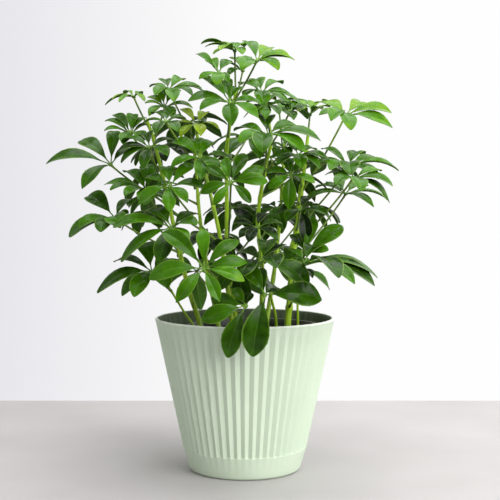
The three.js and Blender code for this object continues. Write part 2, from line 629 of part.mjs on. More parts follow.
// A stem with its leaf stalks and leaves, grown together.
function leafyStem(stem) {
  const course = stemCourse(stem);
  const parts = [tube(course, stemRadii(stem, course), STEM_SIDES)];
  stem.leaves.forEach(([name, x, z, depth, height, direction, length, ...rest]) => {
    const hub = place(x, z, depth);
    const facing = new THREE.Vector3(...direction).normalize();
    const byHand = Array.isArray(rest[0]);
    const seed = Number(name.slice(1));
    const tips = byHand
      ? handPlacedTips([x, z, depth], length, rest[0])
      : spokes(hub, facing, length, ...rest, seed);
    const leaf = umbrella(hub, facing, tips, BROAD_LEAVES[name] ?? 1);
    parts.push(leaf, petiole(pointAtHeight(course, height), hub));
  });
  return wasm.Manifold.union(parts);
}

const mintPlastic = new THREE.MeshStandardMaterial({ color: "#cfe3c6", roughness: 0.55, metalness: 0 });
const blackPlastic = new THREE.MeshStandardMaterial({ color: "#1c1d1c", roughness: 0.5, metalness: 0 });
const pottingMix = new THREE.MeshStandardMaterial({ color: "#2a211b", roughness: 1, metalness: 0 });
const leafGreen = new THREE.MeshStandardMaterial({ color: "#35682a", roughness: 0.4, metalness: 0 });

const plant = new THREE.Group();

function addPart(name, solid, material) {
  const part = new THREE.Mesh(geometryOf(solid), material.clone());
  part.name = name;
  plant.add(part);
}

addPart("pot", coverPot(), mintPlastic);
addPart("nursery_pot", growPot(), blackPlastic);
addPart("soil", soil(Object.values(STEMS).map(stemHole)), pottingMix);
Object.entries(STEMS).forEach(([name, stem]) => {
  addPart(name, leafyStem(stem), leafGreen);
});

export default plant;
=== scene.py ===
# A young umbrella plant in its grow pot, standing in a pleated cover pot.
# The dimensions below are in millimetres, +Z up, origin at the centre of the cover pot's foot,
# -Y is the front. Every mesh is made in metres.
import math
import random

import bpy
from mathutils import Euler, Matrix, Vector, noise


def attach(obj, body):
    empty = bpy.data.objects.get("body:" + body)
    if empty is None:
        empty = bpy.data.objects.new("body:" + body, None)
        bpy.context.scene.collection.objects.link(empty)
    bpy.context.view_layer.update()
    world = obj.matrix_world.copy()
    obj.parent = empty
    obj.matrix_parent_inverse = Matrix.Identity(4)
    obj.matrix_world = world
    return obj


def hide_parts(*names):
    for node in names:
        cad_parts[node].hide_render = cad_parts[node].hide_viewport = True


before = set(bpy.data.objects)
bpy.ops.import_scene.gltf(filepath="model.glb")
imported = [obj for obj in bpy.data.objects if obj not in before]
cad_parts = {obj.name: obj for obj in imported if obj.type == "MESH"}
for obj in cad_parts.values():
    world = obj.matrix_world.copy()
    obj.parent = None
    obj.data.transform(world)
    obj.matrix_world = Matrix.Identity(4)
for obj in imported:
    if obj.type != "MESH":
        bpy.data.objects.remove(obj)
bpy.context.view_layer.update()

MM = 0.001
SAME_POINT = 0.001 * MM  # points closer together than this become one

# Cover pot.
RIM_RADIUS = 89.5
POT_HEIGHT = 150
BAND_HEIGHT = 22  # of the plain band below the pleats
BAND_RADIUS = 61.5  # outside, at the top of the band
PLEAT_COUNT = 56
PLEAT_DEPTH = 2
PLEAT_TOP = 137  # above this the pleats run out, up to PLAIN_LIP
PLAIN_LIP = 145
PLEAT_LEFT = 0.45  # share of their depth that is left there
COLUMNS_PER_PLEAT = 8
POT_FLOOR = 4.5
FLOOR_RADIUS = 52.5  # inside, at the floor
LIP_THICKNESS = 3.8
LIP_ROUNDING = 1.6  # of its inner edge, where no rib shows
INNER_RIB = 1.1  # how far the pleats show on the inside
RIB_START = 8  # above the floor, where they begin
RIB_RISE = 20  # the height over which they reach their depth
RIB_FADE = 0.6  # share of it that they lose again towards the lip
# Points of its section, radius and height: the rounded foot, the band, and the floor's inside.
FOOT = [(0, 0), (51.9, 0), (53.3, 0.4), (54.5, 1.1), (55.3, 1.9), (55.8, 2.9)]
BAND = [(57.2, 8), (59.2, 15), (61.2, 21), (61.5, 22), (61.56, 22.25), (61.68, 22.8)]
FLOOR = [(51.9, 6.4), (50.6, 4.9), (49, 4.5), (36, 4.5), (18, 4.5), (0, 4.5)]

# Grow pot and soil.
GROW_POT_TOP = 142
GROW_POT_RADIUS = 66  # outside, under its rim
GROW_POT_FOOT = 42
GROW_POT_SHIFT = 9  # to the right of the cover pot's axis
GROW_POT_WALL = 1.4
GROW_RIM_WIDTH = 2
GROW_RIM_HEIGHT = 6
DRAIN_COUNT = 6
DRAIN_RADIUS = 4
DRAIN_CIRCLE = 30  # radius of the circle that the drain holes lie on
SOIL_TOP = 133
SOIL_RELIEF = 2.2  # how far the soil rises and falls
SOIL_SHRINK = 0.4  # away from the wall
CRUMB_COUNT = 420
CRUMB_SIZES = (1.0, 1.2, 1.5, 1.8, 2.4, 3.0)
GAP = 0.3  # between pieces that rest on each other
GROW_POT_STEPS = 96  # round it
SOIL_STEPS = 88

# The photograph. One of its pixels is one millimetre at the pot's axis.
VIEW_DISTANCE = 1090  # of the camera, in front of the axis
VIEW_HEIGHT = 267
PHOTO_SIZE = 500  # pixels
MIDDLE_RIGHT = 5.2  # pixels from the pot's axis to the photo's middle
MIDDLE_DOWN = 50  # pixels from the camera's level down to the photo's middle
SENSOR = 36  # width of the camera's

# Stems, stalks and ribs.
COURSE_STEPS = 14  # between two points of a stem's course
NODE_SWELL = 0.26  # how much thicker the stem is where a leaf leaves it
NODE_HALF = 2.6  # half height of that swelling
BUD = ((1.2, 0.95), (2.6, 0.7), (3.8, 0.35))  # how far past the tip, share of its radius
STALK_RADIUS = 0.95
STALK_COLLAR = 0.75  # added at the stem, over STALK_COLLAR_END of the stalk
STALK_COLLAR_END = 0.14
STALK_NECK = 0.35  # added under the hub
RIB_RADIUS = 0.72  # of a leaflet's stalk and midrib, at the hub
RIB_TAPER = 0.62  # how much of it is gone at the tip
WOOD_SIDES, STALK_SIDES, RIB_SIDES = 12, 8, 6

# Leaves.
LEAFLET_WIDTH = 0.38  # of its length
LEAFLET_ARCH = 0.33  # rise of its crest over its chord, doubled, per length of leaflet
LEAFLET_CREST = 0.55  # how far along the crest lies
STALK_SHARE = 0.14  # of a leaflet, narrow like a stalk
STALK_HALF = 0.055  # half width there, as a share of the blade's
TAPER_START, TAPER_RUN = 0.66, 0.34  # where a pointed leaflet narrows more
BLADE_THICKNESS = 0.45
RIB_END = 0.86  # the midrib stands out under the blade up to here
UNEVEN_TURN = 9  # degrees, of the leaflets by rule
UNEVEN_REACH = 0.14  # of their length
UNEVEN_DROOP = 0.12  # radians
HUB_RADIUS = 2.3
HUB_FLAT = 0.62  # its height as a share of its width

# Where the leaflet's rows of points lie along it, closer together towards the tip.
STATIONS = [0.12, 0.17, 0.23, 0.31, 0.41, 0.52, 0.63, 0.74, 0.83, 0.9, 0.95, 0.985, 1.0]

# How light a leaf is, from 0, old and dark, to 1, just unfolded. The values are partly the leaf's age and
# partly painted shade and light: leaves that sit in shade are set darker and lit ones paler.
TONES = {
    "T1": 0.54, "T2": 0.6, "T3": 0.44, "T4": 0.5, "T6": 0.34,
    "R1": 0.44, "R2": 0.3, "R3": 0.24, "R4": 0.64, "R5": 0.62, "R6": 0.4, "R7": 0.42, "R8": 0.42,
    "M1": 0.36, "M2": 0.5, "M3": 0.3, "C1": 0.37, "C2": 0.4, "C3": 1.0,
    "A1": 0.6, "A2": 0.5, "A9": 0.44, "A4": 0.36, "A6": 0.36, "A8": 0.3, "L1": 0.34, "L2": 0.34,
    "F1": 0.42, "F2": 0.28, "F3": 0.3, "F4": 0.28, "F6": 0.32, "F7": 0.22,
}
# For the other leaves, most of them at the back and inside the bush; kept low partly as painted shade.
COMMON_TONE = 0.16

# How wide the leaflets of some leaves are against the others'.
BROAD_LEAVES = {
    "A1": 0.55, "C1": 0.85, "F1": 0.8, "F3": 1.08, "F7": 0.9, "L1": 0.84, "L2": 1.12,
    "R5": 0.84, "R6": 0.9,
}

# Each leafy stem: radius at the soil and at the tip, and its course as [x, z, depth]. Every x and
# z is read on the plane of the pot's axis, looking from the front, and depth is how far behind
# that plane the point lies (in front of it where it is negative). Its leaves follow.
# Leaf: name, hub x, hub z, hub depth, height on the stem, direction that the leaf faces, length of
# a leaflet, and then each leaflet as [right, up, turn]: turn runs from -1, towards the front, to 1.
# A leaf of the second kind has its leaflets by rule: count, first angle, droop.
STEMS = {}
LEAVES = {}

STEMS["stem_left"] = {
    "radius": [3.0, 1.4],
    "course": [
        [-39, 112, 8], [-45, 144, 9], [-56, 177, 8], [-69, 232, 4], [-80, 282, 0], [-91, 327, -3],
        [-97, 345, -4],
    ],
}
LEAVES["stem_left"] = [
    ["A1", -111, 370, 14, 334, [0, 0, 1], 32,
     [-29, -8, 0.2], [-22, -2, -0.6], [-15, -5, -0.9], [11, -4, -0.9], [8, 1, 1], [-10, 2, 1]],
    ["A2", -80, 360, 2, 326, [0, -0.4, 1], 34,
     [-4, 18, 0.8], [-17, 10, 0.6], [-20, 4, -0.2], [-16, -9, -0.8], [15, 17, 0.7], [28, -1, 0.3],
     [8, -11, -0.8]],
    ["A4", -114, 333, 0, 296, [0, -0.35, 1], 34,
     [-26, 13, 0.15], [-18, 19, 0.6], [-27, 3, -0.55], [3, 20, 0.7], [12, -8, -0.9], [22, 8, 0.6],
     [-8, -10, -0.9], [14, 16, 0.8]],
    ["A5", -95, 319, -41, 270, [0, -0.45, 1], 38,
     [-28, 7, 0.6], [-29, -15, -0.3], [-7, -20, -0.7], [-33, -4, 0.2], [18, -8, -0.8], [24, 8, 0.6],
     [-4, 14, 0.9]],
    ["A6", -97, 274, -26, 228, [0, -0.45, 1], 46,
     [-44, 8, 0.3], [-38, 3, -0.5], [-23, -3, -0.9], [-22, 21, 0.8], [1, 29, 0.8], [22, -10, -0.8],
     [30, 8, 0.6], [-4, -12, -1]],
    ["L1", -134, 302, -2, 262, [0, -0.5, 1], 66,
     [-65, 1, 0], [-31, 24, 0.6], [-29, -24, -0.55], [4, 34, 0.45], [24, 15, 0.5]],
    ["L2", -130, 249, -20, 214, [-0.3, -0.6, 1], 50,
     [-46, -19, -0.15], [-27, 22, 0.55], [18, 18, 0.6], [14, 5, -0.25], [-14, -14, -0.8],
     [-36, -10, -0.5], [6, -10, -0.9]],
    ["B6", -98, 256, 44, 215, [-0.3, -0.2, 1], 36, 6, 0, 0.35],
    ["B18", -84, 320, 44, 290, [-0.2, -0.2, 1], 38, 8, 15, 0.3],
]

STEMS["stem_centre_left"] = {
    "radius": [2.6, 1.3],
    "course": [
        [-11, 112, -12], [-13, 145, -12], [-23, 220, -14], [-33, 267, -16], [-43, 307, -18],
        [-48, 334, -20],
    ],
}
LEAVES["stem_centre_left"] = [
    ["C2", -45, 309, -54, 262, [0, -0.55, 1], 42,
     [-29, -9, -0.4], [-28, 16, 0.5], [-9, 18, 0.9], [14, 15, 0.8], [1, -22, -0.8], [34, -2, 0.2],
     [20, -14, -0.7]],
    ["C3", -48, 342, -24, 330, [0, -0.3, 1], 34,
     [-16, 16, 0.6], [10, 12, 0.8], [-17, -13, -0.6], [22, -4, -0.3], [4, -11, -0.9], [-24, 0, 0.2]],
    ["A9", -76, 377, -4, 318, [0.1, -0.2, 1], 38,
     [38, -4, 0.1], [33, 2, 0.5], [24, -6, -0.6], [-19, 3, 0.5], [-14, -5, -0.8], [5, -12, -0.9],
     [-4, 8, 0.9], [14, 10, 0.8]],
    ["A3", -79, 345, -52, 290, [0, -0.4, 1], 30,
     [-11, -12, -0.8], [-24, -2, 0.4], [-14, 8, 0.9], [6, 8, 0.9], [20, 4, 0.5], [12, -10, -0.8]],
    ["A7", -75, 280, -71, 222, [0, -0.55, 1], 40,
     [-32, -19, -0.2], [0, -25, -0.7], [24, 22, 0.6], [37, -3, 0.1], [-24, 10, 0.6], [-4, 20, 0.9],
     [18, -16, -0.6]],
    ["A8", -73, 239, -76, 180, [0, -0.45, 1], 60,
     [-59, 1, 0], [-51, -34, -0.3], [-13, -35, -0.6], [25, 14, 0.5], [25, 3, -0.45], [-20, 15, 0.9],
     [14, -20, -0.7]],
    ["F1", -41, 198, -112, 165, [0, -0.9, 0.55], 52,
     [-41, 37, 0.2], [-2, 41, 0.4], [-55, -10, 0], [-28, -34, -0.3], [16, -33, -0.5], [44, 6, 0.2],
     [41, -12, -0.2], [36, 28, 0.3]],
    ["B19", -50, 327, 28, 300, [0, -0.2, 1], 22, 6, 25, 0.3],
]

STEMS["stem_centre"] = {
    "radius": [2.8, 1.4],
    "course": [
        [-7, 112, 24], [-9, 145, 22], [-17, 217, 18], [-18, 267, 12], [-18, 317, 6], [-14, 347, 3],
        [-9, 375, 0],
    ],
}
LEAVES["stem_centre"] = [
    ["T1", 12, 406, -22, 366, [0.1, -0.5, 0.9], 40,
     [28, 6, 0.55], [14, 12, 0.85], [22, -9, -0.55], [38, 1, 0.1], [-16, -9, -0.9], [-12, 19, 0.85],
     [33, 4, -0.15]],
    ["T2", -10, 416, 8, 374, [0, -0.1, 1], 36,
     [-34, 7, 0.15], [-30, 4, -0.3], [-22, -3, -0.7], [8, -3, -0.8], [10, 4, 0.9], [-8, 4, 1],
     [-15, 1, -0.9]],
    ["T3", -26, 394, -45, 364, [0, -0.5, 0.8], 30,
     [-23, 19, 0.1], [-20, -6, -0.5], [-2, -12, -1], [-12, 12, 0.9], [12, 12, 0.8], [10, -10, -0.6]],
    ["T4", -2, 396, 27, 362, [0, -0.3, 1], 34,
     [-22, 8, -0.3], [-14, -4, -0.8], [4, 12, 0.9], [12, 7, 0.6], [-10, 12, 1]],
    ["T6", -15, 364, -46, 330, [0, -0.5, 1], 44,
     [-42, 2, 0.1], [-30, -7, -0.55], [-29, 26, 0.5], [-9, 22, 0.8], [10, 14, 0.85], [2, -23, -0.8],
     [32, -2, 0.3], [29, -15, -0.4]],
    ["C1", -14, 284, -88, 215, [0, -1, 0.35], 44,
     [-24, 17, 0.3], [-6, 25, 0.5], [15, 29, 0.5], [37, 1, 0.1], [34, 15, 0.3], [-30, -11, 0],
     [-17, -22, -0.2], [20, -20, -0.3]],
    ["F4", 1, 161, -99, 156, [-0.1, -1, 0.35], 54,
     [-18, -52, -0.1], [-44, -15, 0], [6, 13, 0.35], [-35, 8, 0.4], [-12, 18, 0.3]],
    ["F10", -6, 206, -56, 178, [-0.1, -0.9, 0.5], 48,
     [6, -47, -0.2], [-20, -30, -0.5], [24, -34, 0.4], [-30, 18, 0.6], [-18, 20, 0.5]],
    ["F8", 12, 239, -80, 205, [0, -0.5, 1], 34,
     [21, -12, -0.5], [-24, 4, 0.5], [10, 14, 0.8], [-8, -14, -0.8], [26, 4, 0.3], [-18, -10, -0.6]],
    ["B15", 2, 329, 56, 300, [0, -0.3, 1], 38, 8, 20, 0.3],
    ["B17", -14, 259, 54, 232, [0, -0.4, 1], 38, 8, 30, 0.35],
]

STEMS["stem_centre_right"] = {
    "radius": [2.8, 1.4],
    "course": [
        [17, 112, 14], [17, 145, 14], [17, 205, 14], [13, 247, 14], [20, 297, 14], [26, 327, 14],
        [20, 368, 12],
    ],
}
LEAVES["stem_centre_right"] = [
    ["R1", 17, 374, 10, 350, [0, -0.35, 1], 42,
     [-8, 12, 0.95], [21, 9, 0.75], [31, -3, 0.45], [42, -14, 0], [-22, 8, 0.85], [-19, -4, -0.7],
     [2, -12, -1], [27, -11, -0.5]],
    ["R2", 21, 360, -28, 330, [0.1, -0.4, 1], 30,
     [14, -8, -0.9], [25, -10, -0.4], [26, 3, 0.3], [-14, -6, -0.8], [-20, 4, 0.6], [2, 10, 1],
     [0, -12, -0.9]],
    ["R3", 45, 355, -10, 322, [0.1, -0.3, 1], 26,
     [13, 2, -0.8], [-7, 7, 0.9], [20, 5, 0.4], [-14, 2, -0.6], [4, -8, -0.9], [10, 8, 0.9]],
    ["M1", 23, 332, -62, 290, [0, -0.55, 1], 52,
     [-1, 17, 0.9], [53, -6, 0], [33, 6, 0.6], [38, -18, -0.45], [-5, -18, -0.9], [-34, 4, 0.5],
     [-29, -8, -0.6]],
    ["M2", 40, 319, -22, 296, [0, -0.3, 1], 24,
     [-16, 4, 0.5], [-12, -6, -0.8], [14, 6, 0.8], [18, -4, -0.4], [4, -8, -1], [0, 10, 1]],
    ["F3", 20, 172, -106, 160, [0, -0.95, 0.4], 62,
     [-12, -62, -0.1], [57, -4, 0], [-21, 28, 0.3], [-12, 26, 0.6], [12, 8, 0.6]],
    ["B16", 48, 290, 52, 270, [0.2, 0.3, 1], 38, 7, 0, 0.3],
    ["B20", 32, 259, 31, 225, [0, -0.4, 1], 28, 8, 20, 0.35],
]

STEMS["stem_right"] = {
    "radius": [3.6, 1.6],
    "course": [
        [42, 112, -5], [43, 145, -5], [45, 167, -5], [48, 217, -4], [53, 242, -2], [55, 267, 0],
        [58, 287, 2], [61, 312, 4], [63, 330, 5],
    ],
}
LEAVES["stem_right"] = [
    ["R4", 65, 352, 35, 318, [0, -0.1, 1], 36,
     [-32, 12, 0.2], [-18, 12, 0.8], [5, 12, 0.9], [20, 8, 0.5], [-12, 4, -0.8], [12, 6, -0.8]],
    ["R5", 101, 352, -5, 274, [0.1, -0.6, 1], 50,
     [46, 2, 0.4], [47, -13, -0.4], [17, 11, 0.85], [-31, 12, 0.5], [-27, 0, -0.4], [-15, -6, -0.9],
     [5, -15, -1], [-22, 12, 0.9]],
    ["R6", 104, 300, -28, 240, [0, -0.35, 1], 52,
     [13, 12, 0.9], [50, -4, 0], [-27, 18, 0.6], [2, -8, -1], [-19, -3, -0.75], [30, -12, -0.6],
     [-34, 4, 0.1], [34, 5, 0.6]],
    ["R7", 108, 288, -66, 222, [0.1, -0.4, 1], 40,
     [28, 8, 0.6], [40, -7, 0.1], [37, -24, -0.3], [8, -12, -1], [-17, -6, -0.8], [-28, 4, 0.5],
     [-2, 12, 0.9]],
    ["R8", 101, 273, 8, 205, [0, -0.3, 1], 46,
     [28, -13, -0.6], [-43, -10, 0], [42, -6, 0.1], [20, 8, 0.9], [-16, 8, 0.9], [-30, 6, 0.6]],
    ["M3", 53, 312, -50, 280, [0, -0.5, 1], 34,
     [-26, -3, -0.1], [-21, -10, -0.65], [32, -5, -0.2], [18, 5, 0.7], [4, -14, -0.9], [-8, 10, 0.9],
     [22, -14, -0.5]],
    ["F6", 60, 213, -48, 180, [-0.1, -0.9, 0.6], 60,
     [38, 28, 0.2], [-10, 20, 0.6], [24, 4, -0.3], [-24, -4, 0.4], [6, 38, 0.4], [-12, -14, -0.25]],
    ["F7", 60, 204, -96, 160, [0.1, -0.25, 1], 76,
     [73, -15, 0.1], [70, -23, -0.35], [50, -21, -0.6], [34, -15, -0.9], [-20, 10, 0.4], [12, 14, 0.6]],
    ["G1", 55, 257, -40, 236, [0, -0.5, 1], 36,
     [30, -6, -0.3], [6, -34, -0.4], [-22, 8, 0.5], [12, 12, 0.8], [-14, -12, -0.7], [-24, -4, 0.2]],
    ["G3", 46, 292, -66, 262, [0, -0.7, 0.8], 38,
     [-2, -35, -0.3], [-24, 2, 0.4], [18, 14, 0.6], [24, -8, -0.4], [-6, 16, 0.8], [-22, -14, -0.3]],
    ["B13", 70, 262, 28, 212, [0.3, 0.1, 1], 30, 7, 40, 0.3],
]

STEMS["stem_back_left"] = {
    "radius": [2.8, 1.4],
    "course": [[-22, 112, 38], [-27, 145, 44], [-38, 200, 60], [-46, 260, 78], [-50, 320, 88]],
}
LEAVES["stem_back_left"] = [
    ["B1", -55, 345, 96, 300, [-0.1, 0.3, 1], 40, 7, 10, 0.25],
    ["B2", -95, 292, 74, 262, [-0.5, 0.3, 1], 42, 6, 40, 0.3],
    ["B3", -32, 305, 128, 270, [0.1, 0.6, 1], 44, 7, 0, 0.3],
    ["B4", -90, 272, 104, 235, [-0.3, 0.2, 1], 38, 6, 50, 0.3],
    ["B5", -34, 232, 128, 205, [0, -0.3, 1], 42, 8, 35, 0.4],
    ["B7", -48, 196, 112, 175, [-0.2, 0.7, 0.8], 44, 7, 15, 0.35],
]

STEMS["stem_back_right"] = {
    "radius": [2.8, 1.4],
    "course": [[20, 112, 44], [22, 145, 48], [30, 200, 62], [36, 260, 78], [40, 330, 86]],
}
LEAVES["stem_back_right"] = [
    ["B8", 34, 364, 92, 310, [0, 0.1, 1], 36, 7, 0, 0.2],
    ["B9", 80, 305, 82, 268, [0.4, 0.2, 1], 42, 7, 12, 0.3],
    ["B10", 26, 310, 126, 275, [0.1, 0.5, 1], 41, 7, 50, 0.3],
    ["B11", 62, 258, 86, 215, [0.3, 0.2, 1], 34, 6, 20, 0.3],
    ["B12", 26, 256, 110, 215, [0, -0.4, 1], 42, 8, 25, 0.35],
    ["B14", 34, 216, 112, 185, [0.1, 0.5, 0.9], 40, 7, 0, 0.3],
]

STEMS["shoot_left"] = {
    "radius": [1.5, 1.0],
    "course": [
        [-42, 112, -6], [-47, 134, -8], [-53, 144, -9], [-60, 154, -10], [-68, 167, -14], [-76, 180, -24],
    ],
}
LEAVES["shoot_left"] = [
    ["F2", -93, 195, -52, 178, [0, -0.45, 1], 56,
     [-55, -21, 0], [-38, 10, 0.5], [-30, -24, -0.45], [-18, -25, -0.8], [-7, 29, 0.7], [16, -16, -0.8],
     [24, 10, 0.8]],
]

STEMS["shoot_middle"] = {
    "radius": [1.7, 1.1],
    "course": [[32, 112, 34], [31, 147, 32], [27, 167, 24], [22, 190, 8]],
}
LEAVES["shoot_middle"] = [
    ["F5", 17, 205, -80, 186, [0, -0.5, 1], 55,
     [47, -24, -0.9], [14, -6, -0.9], [-24, 8, 0.6], [6, 20, 0.85], [20, 16, 0.8], [-20, -14, -0.7]],
]

STEMS["shoot_right"] = {
    "radius": [1.4, 1.0],
    "course": [[53, 112, 22], [53, 146, 20], [53, 167, 18], [56, 186, 28]],
}
LEAVES["shoot_right"] = [
    ["F9", 54, 197, 36, 182, [0.2, -0.3, 1], 34,
     [31, -20, -0.2], [14, -8, -0.8], [-18, 4, 0.6], [6, 12, 0.8], [-8, -10, -0.8], [20, 8, 0.7]],
]


def place(x, z, depth):
    """The point that is seen at x, z on the plane of the pot's axis and lies depth behind it."""
    eye = Vector((0, -VIEW_DISTANCE, VIEW_HEIGHT))
    return (eye + (Vector((x, 0, z)) - eye) * (1 + depth / VIEW_DISTANCE)) * MM


def clamp(value):
    return min(max(value, 0), 1)


def deselect():
    bpy.ops.object.select_all(action="DESELECT")


def smooth(piece, degrees):
    """Smooth shading, with every edge sharper than the angle kept crisp."""
    deselect()
    piece.select_set(True)
    bpy.context.view_layer.objects.active = piece
    bpy.ops.object.shade_smooth_by_angle(angle=math.radians(degrees))


def copied(original):
    """A copy with a mesh of its own, in the scene."""
    piece = original.copy()
    piece.data = original.data.copy()
    bpy.context.collection.objects.link(piece)
    return piece


def weld(distance):
    """In edit mode, merges the points that lie closer together than this."""
    bpy.ops.object.mode_set(mode="EDIT")
    bpy.ops.mesh.select_all(action="SELECT")
    bpy.ops.mesh.remove_doubles(threshold=distance)


def join(name, pieces):
    deselect()
    for piece in pieces:
        piece.select_set(True)
    whole = pieces[0]
    bpy.context.view_layer.objects.active = whole
    bpy.ops.object.join()
    whole.name = name
    whole.data.name = name
    return whole


def stand_for(piece, cad_node, material):
    """Gives a finished piece its material, and puts it in its CAD node's place."""
    piece.data.materials.clear()
    piece.data.materials.append(material)
    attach(piece, "root")
    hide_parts(cad_node)


def turned(name, section, steps):
    """A closed body spun about Z from its section, radius and height from axis to axis."""
    radius, height = section[0]
    bpy.ops.mesh.primitive_plane_add(size=MM, location=(radius * MM, 0, height * MM))
    piece = bpy.context.object
    piece.name = name
    bpy.ops.object.transform_apply(location=True)
    bpy.ops.object.mode_set(mode="EDIT")
    bpy.ops.mesh.merge(type="CENTER")
    for (radius, height), (next_radius, next_height) in zip(section, section[1:]):
        step = ((next_radius - radius) * MM, 0, (next_height - height) * MM)
        bpy.ops.mesh.extrude_vertices_move(TRANSFORM_OT_translate={"value": step})
    bpy.ops.mesh.select_all(action="SELECT")
    bpy.ops.mesh.spin(steps=steps, angle=math.tau, center=(0, 0, 0), axis=(0, 0, 1))
    weld(SAME_POINT)
    bpy.ops.mesh.normals_make_consistent(inside=False)
    bpy.ops.object.mode_set(mode="OBJECT")
    return piece


def between(low, high, count):
    """Heights or radii spread evenly between two, both left out."""
    return [low + (high - low) * (i + 1) / (count + 1) for i in range(count)]


def tubes(name, runs, sides):
    """Round tubes in one mesh, each along a run of points with a radius."""
    bpy.ops.curve.primitive_bezier_curve_add(location=(0, 0, 0))
    piece = bpy.context.object
    curve = piece.data
    curve.splines.clear()
    curve.dimensions = "3D"
    curve.bevel_depth = 1
    curve.bevel_resolution = sides // 2 - 2
    curve.use_fill_caps = True
    for run in runs:
        spline = curve.splines.new("POLY")
        spline.points.add(len(run) - 1)
        for spot, (point, radius) in zip(spline.points, run):
            spot.co = (*point, 1)
            spot.radius = radius
    bpy.ops.object.convert(target="MESH")
    weld(SAME_POINT)
    bpy.ops.object.mode_set(mode="OBJECT")
    piece.name = name
    return piece


# Cover pot: a thin wall turned from its section, with its pleats pressed in.


def outer_radius(height):
    """Of the cover pot's wall, over the crests of the pleats."""
    share = (height - BAND_HEIGHT) / (POT_HEIGHT - BAND_HEIGHT)
    return BAND_RADIUS + (RIM_RADIUS - BAND_RADIUS) * share


def inner_radius(height):
    share = (height - POT_FLOOR) / (POT_HEIGHT - POT_FLOOR)
    return FLOOR_RADIUS + (RIM_RADIUS - LIP_THICKNESS - FLOOR_RADIUS) * share


def pot_section():
    """From the middle of the underside, with a rounded foot, up the band and the pleats, over the
    rolled lip, and down the inside to the middle of the floor."""
    pleats = [(outer_radius(h), h) for h in [23.6, *between(24, PLEAT_TOP, 11), PLEAT_TOP]]
    fading = [(outer_radius(h), h) for h in (139, 141, 143, 145, 147)]
    rolled = LIP_THICKNESS / 2
    lip = []
    for turn in (0, 25, 48, 70, 90, 110, 132, 155):
        across, up = math.cos(math.radians(turn)), math.sin(math.radians(turn))
        lip.append((RIM_RADIUS - rolled + rolled * across, POT_HEIGHT - rolled + rolled * up))
    hollow = [(inner_radius(h), h) for h in (147.5, 145, *between(12, 144, 13)[::-1], 9)]
    return FOOT + BAND + pleats + fading + lip + hollow + FLOOR


def press_pleats(pot):
    """Moves the wall inwards in the grooves, with crisp crests, and shows them faintly inside. The
    attribute "hollow" is 0 on the outside and rises from 0 to 1 just inside the lip; it masks the painted
    shade that darkens the inside of the wall."""
    hollow = pot.data.attributes.new("hollow", "FLOAT", "POINT")
    wall_middle = 0.6 * LIP_THICKNESS
    for vertex in pot.data.vertices:
        radius = math.hypot(vertex.co.x, vertex.co.y) / MM
        height = vertex.co.z / MM
        turn = math.atan2(vertex.co.y, vertex.co.x) % math.tau
        phase = (turn * PLEAT_COUNT / math.tau) % 1
        groove = 1 - abs(2 * phase - 1)
        outer = outer_radius(height)
        if radius < outer - wall_middle and height > POT_FLOOR - 1:
            depth = (POT_HEIGHT - height) / LIP_THICKNESS
            hollow.data[vertex.index].value = clamp(6 * depth)
        if height > BAND_HEIGHT + 0.5 and radius > outer - wall_middle:
            fade = clamp((height - PLEAT_TOP) / (PLAIN_LIP - PLEAT_TOP))
            share = 1 - (1 - PLEAT_LEFT) * fade * fade * (3 - 2 * fade)
            move = -PLEAT_DEPTH * groove * share
        elif height > POT_FLOOR + RIB_START and height < POT_HEIGHT - LIP_ROUNDING:
            rise = min((height - POT_FLOOR - RIB_START) / RIB_RISE, 1)
            fade = clamp((height - PLEAT_TOP) / (POT_HEIGHT - PLEAT_TOP))
            move = -INNER_RIB * groove * rise * (1 - RIB_FADE * fade)
        else:
            continue
        vertex.co.x *= (radius + move) / radius
        vertex.co.y *= (radius + move) / radius


def mark_painted_lip_highlight(pot, low):
    """Sets the attribute "lip", which rises from 0 to 1 over a millimetre from a height of low. It masks
    the painted highlight along a pot's rim.
    """
    lip = pot.data.attributes.new("lip", "FLOAT", "POINT")
    for vertex in pot.data.vertices:
        lip.data[vertex.index].value = clamp(vertex.co.z / MM - low)


# Grow pot: a thin cup with a thicker rim, and drain holes through its floor.


def grow_pot_radius(height):
    share = (height - POT_FLOOR) / (GROW_POT_TOP - POT_FLOOR)
    return GROW_POT_FOOT + (GROW_POT_RADIUS - GROW_POT_FOOT) * share


def grow_pot_section():
    foot = POT_FLOOR + GAP
    floor = foot + GROW_POT_WALL
    rim_foot = GROW_POT_TOP - GROW_RIM_HEIGHT
    top = grow_pot_radius(GROW_POT_TOP)
    wall = [(grow_pot_radius(h), h) for h in (foot + 1, *between(foot, rim_foot, 4), rim_foot)]
    # The rim's edges are rounded by half a millimetre or so.
    rim = [
        (grow_pot_radius(rim_foot) + GROW_RIM_WIDTH - 0.3, rim_foot + 0.2),
        (grow_pot_radius(rim_foot) + GROW_RIM_WIDTH, rim_foot + 1),
        (top + GROW_RIM_WIDTH, GROW_POT_TOP - 0.7),
        (top + GROW_RIM_WIDTH - 0.5, GROW_POT_TOP - 0.1),
        (top + 0.6, GROW_POT_TOP),
        (top - GROW_POT_WALL + 0.4, GROW_POT_TOP - 0.1),
        (top - GROW_POT_WALL, GROW_POT_TOP - 0.7),
    ]
    inside = [
        (grow_pot_radius(h) - GROW_POT_WALL, h) for h in (rim_foot, *between(floor, rim_foot, 4)[::-1])
    ]
    base = [(grow_pot_radius(floor) - GROW_POT_WALL, floor), (24, floor), (0, floor)]
    return [(0, foot), (GROW_POT_FOOT - 0.8, foot)] + wall + rim + inside + base


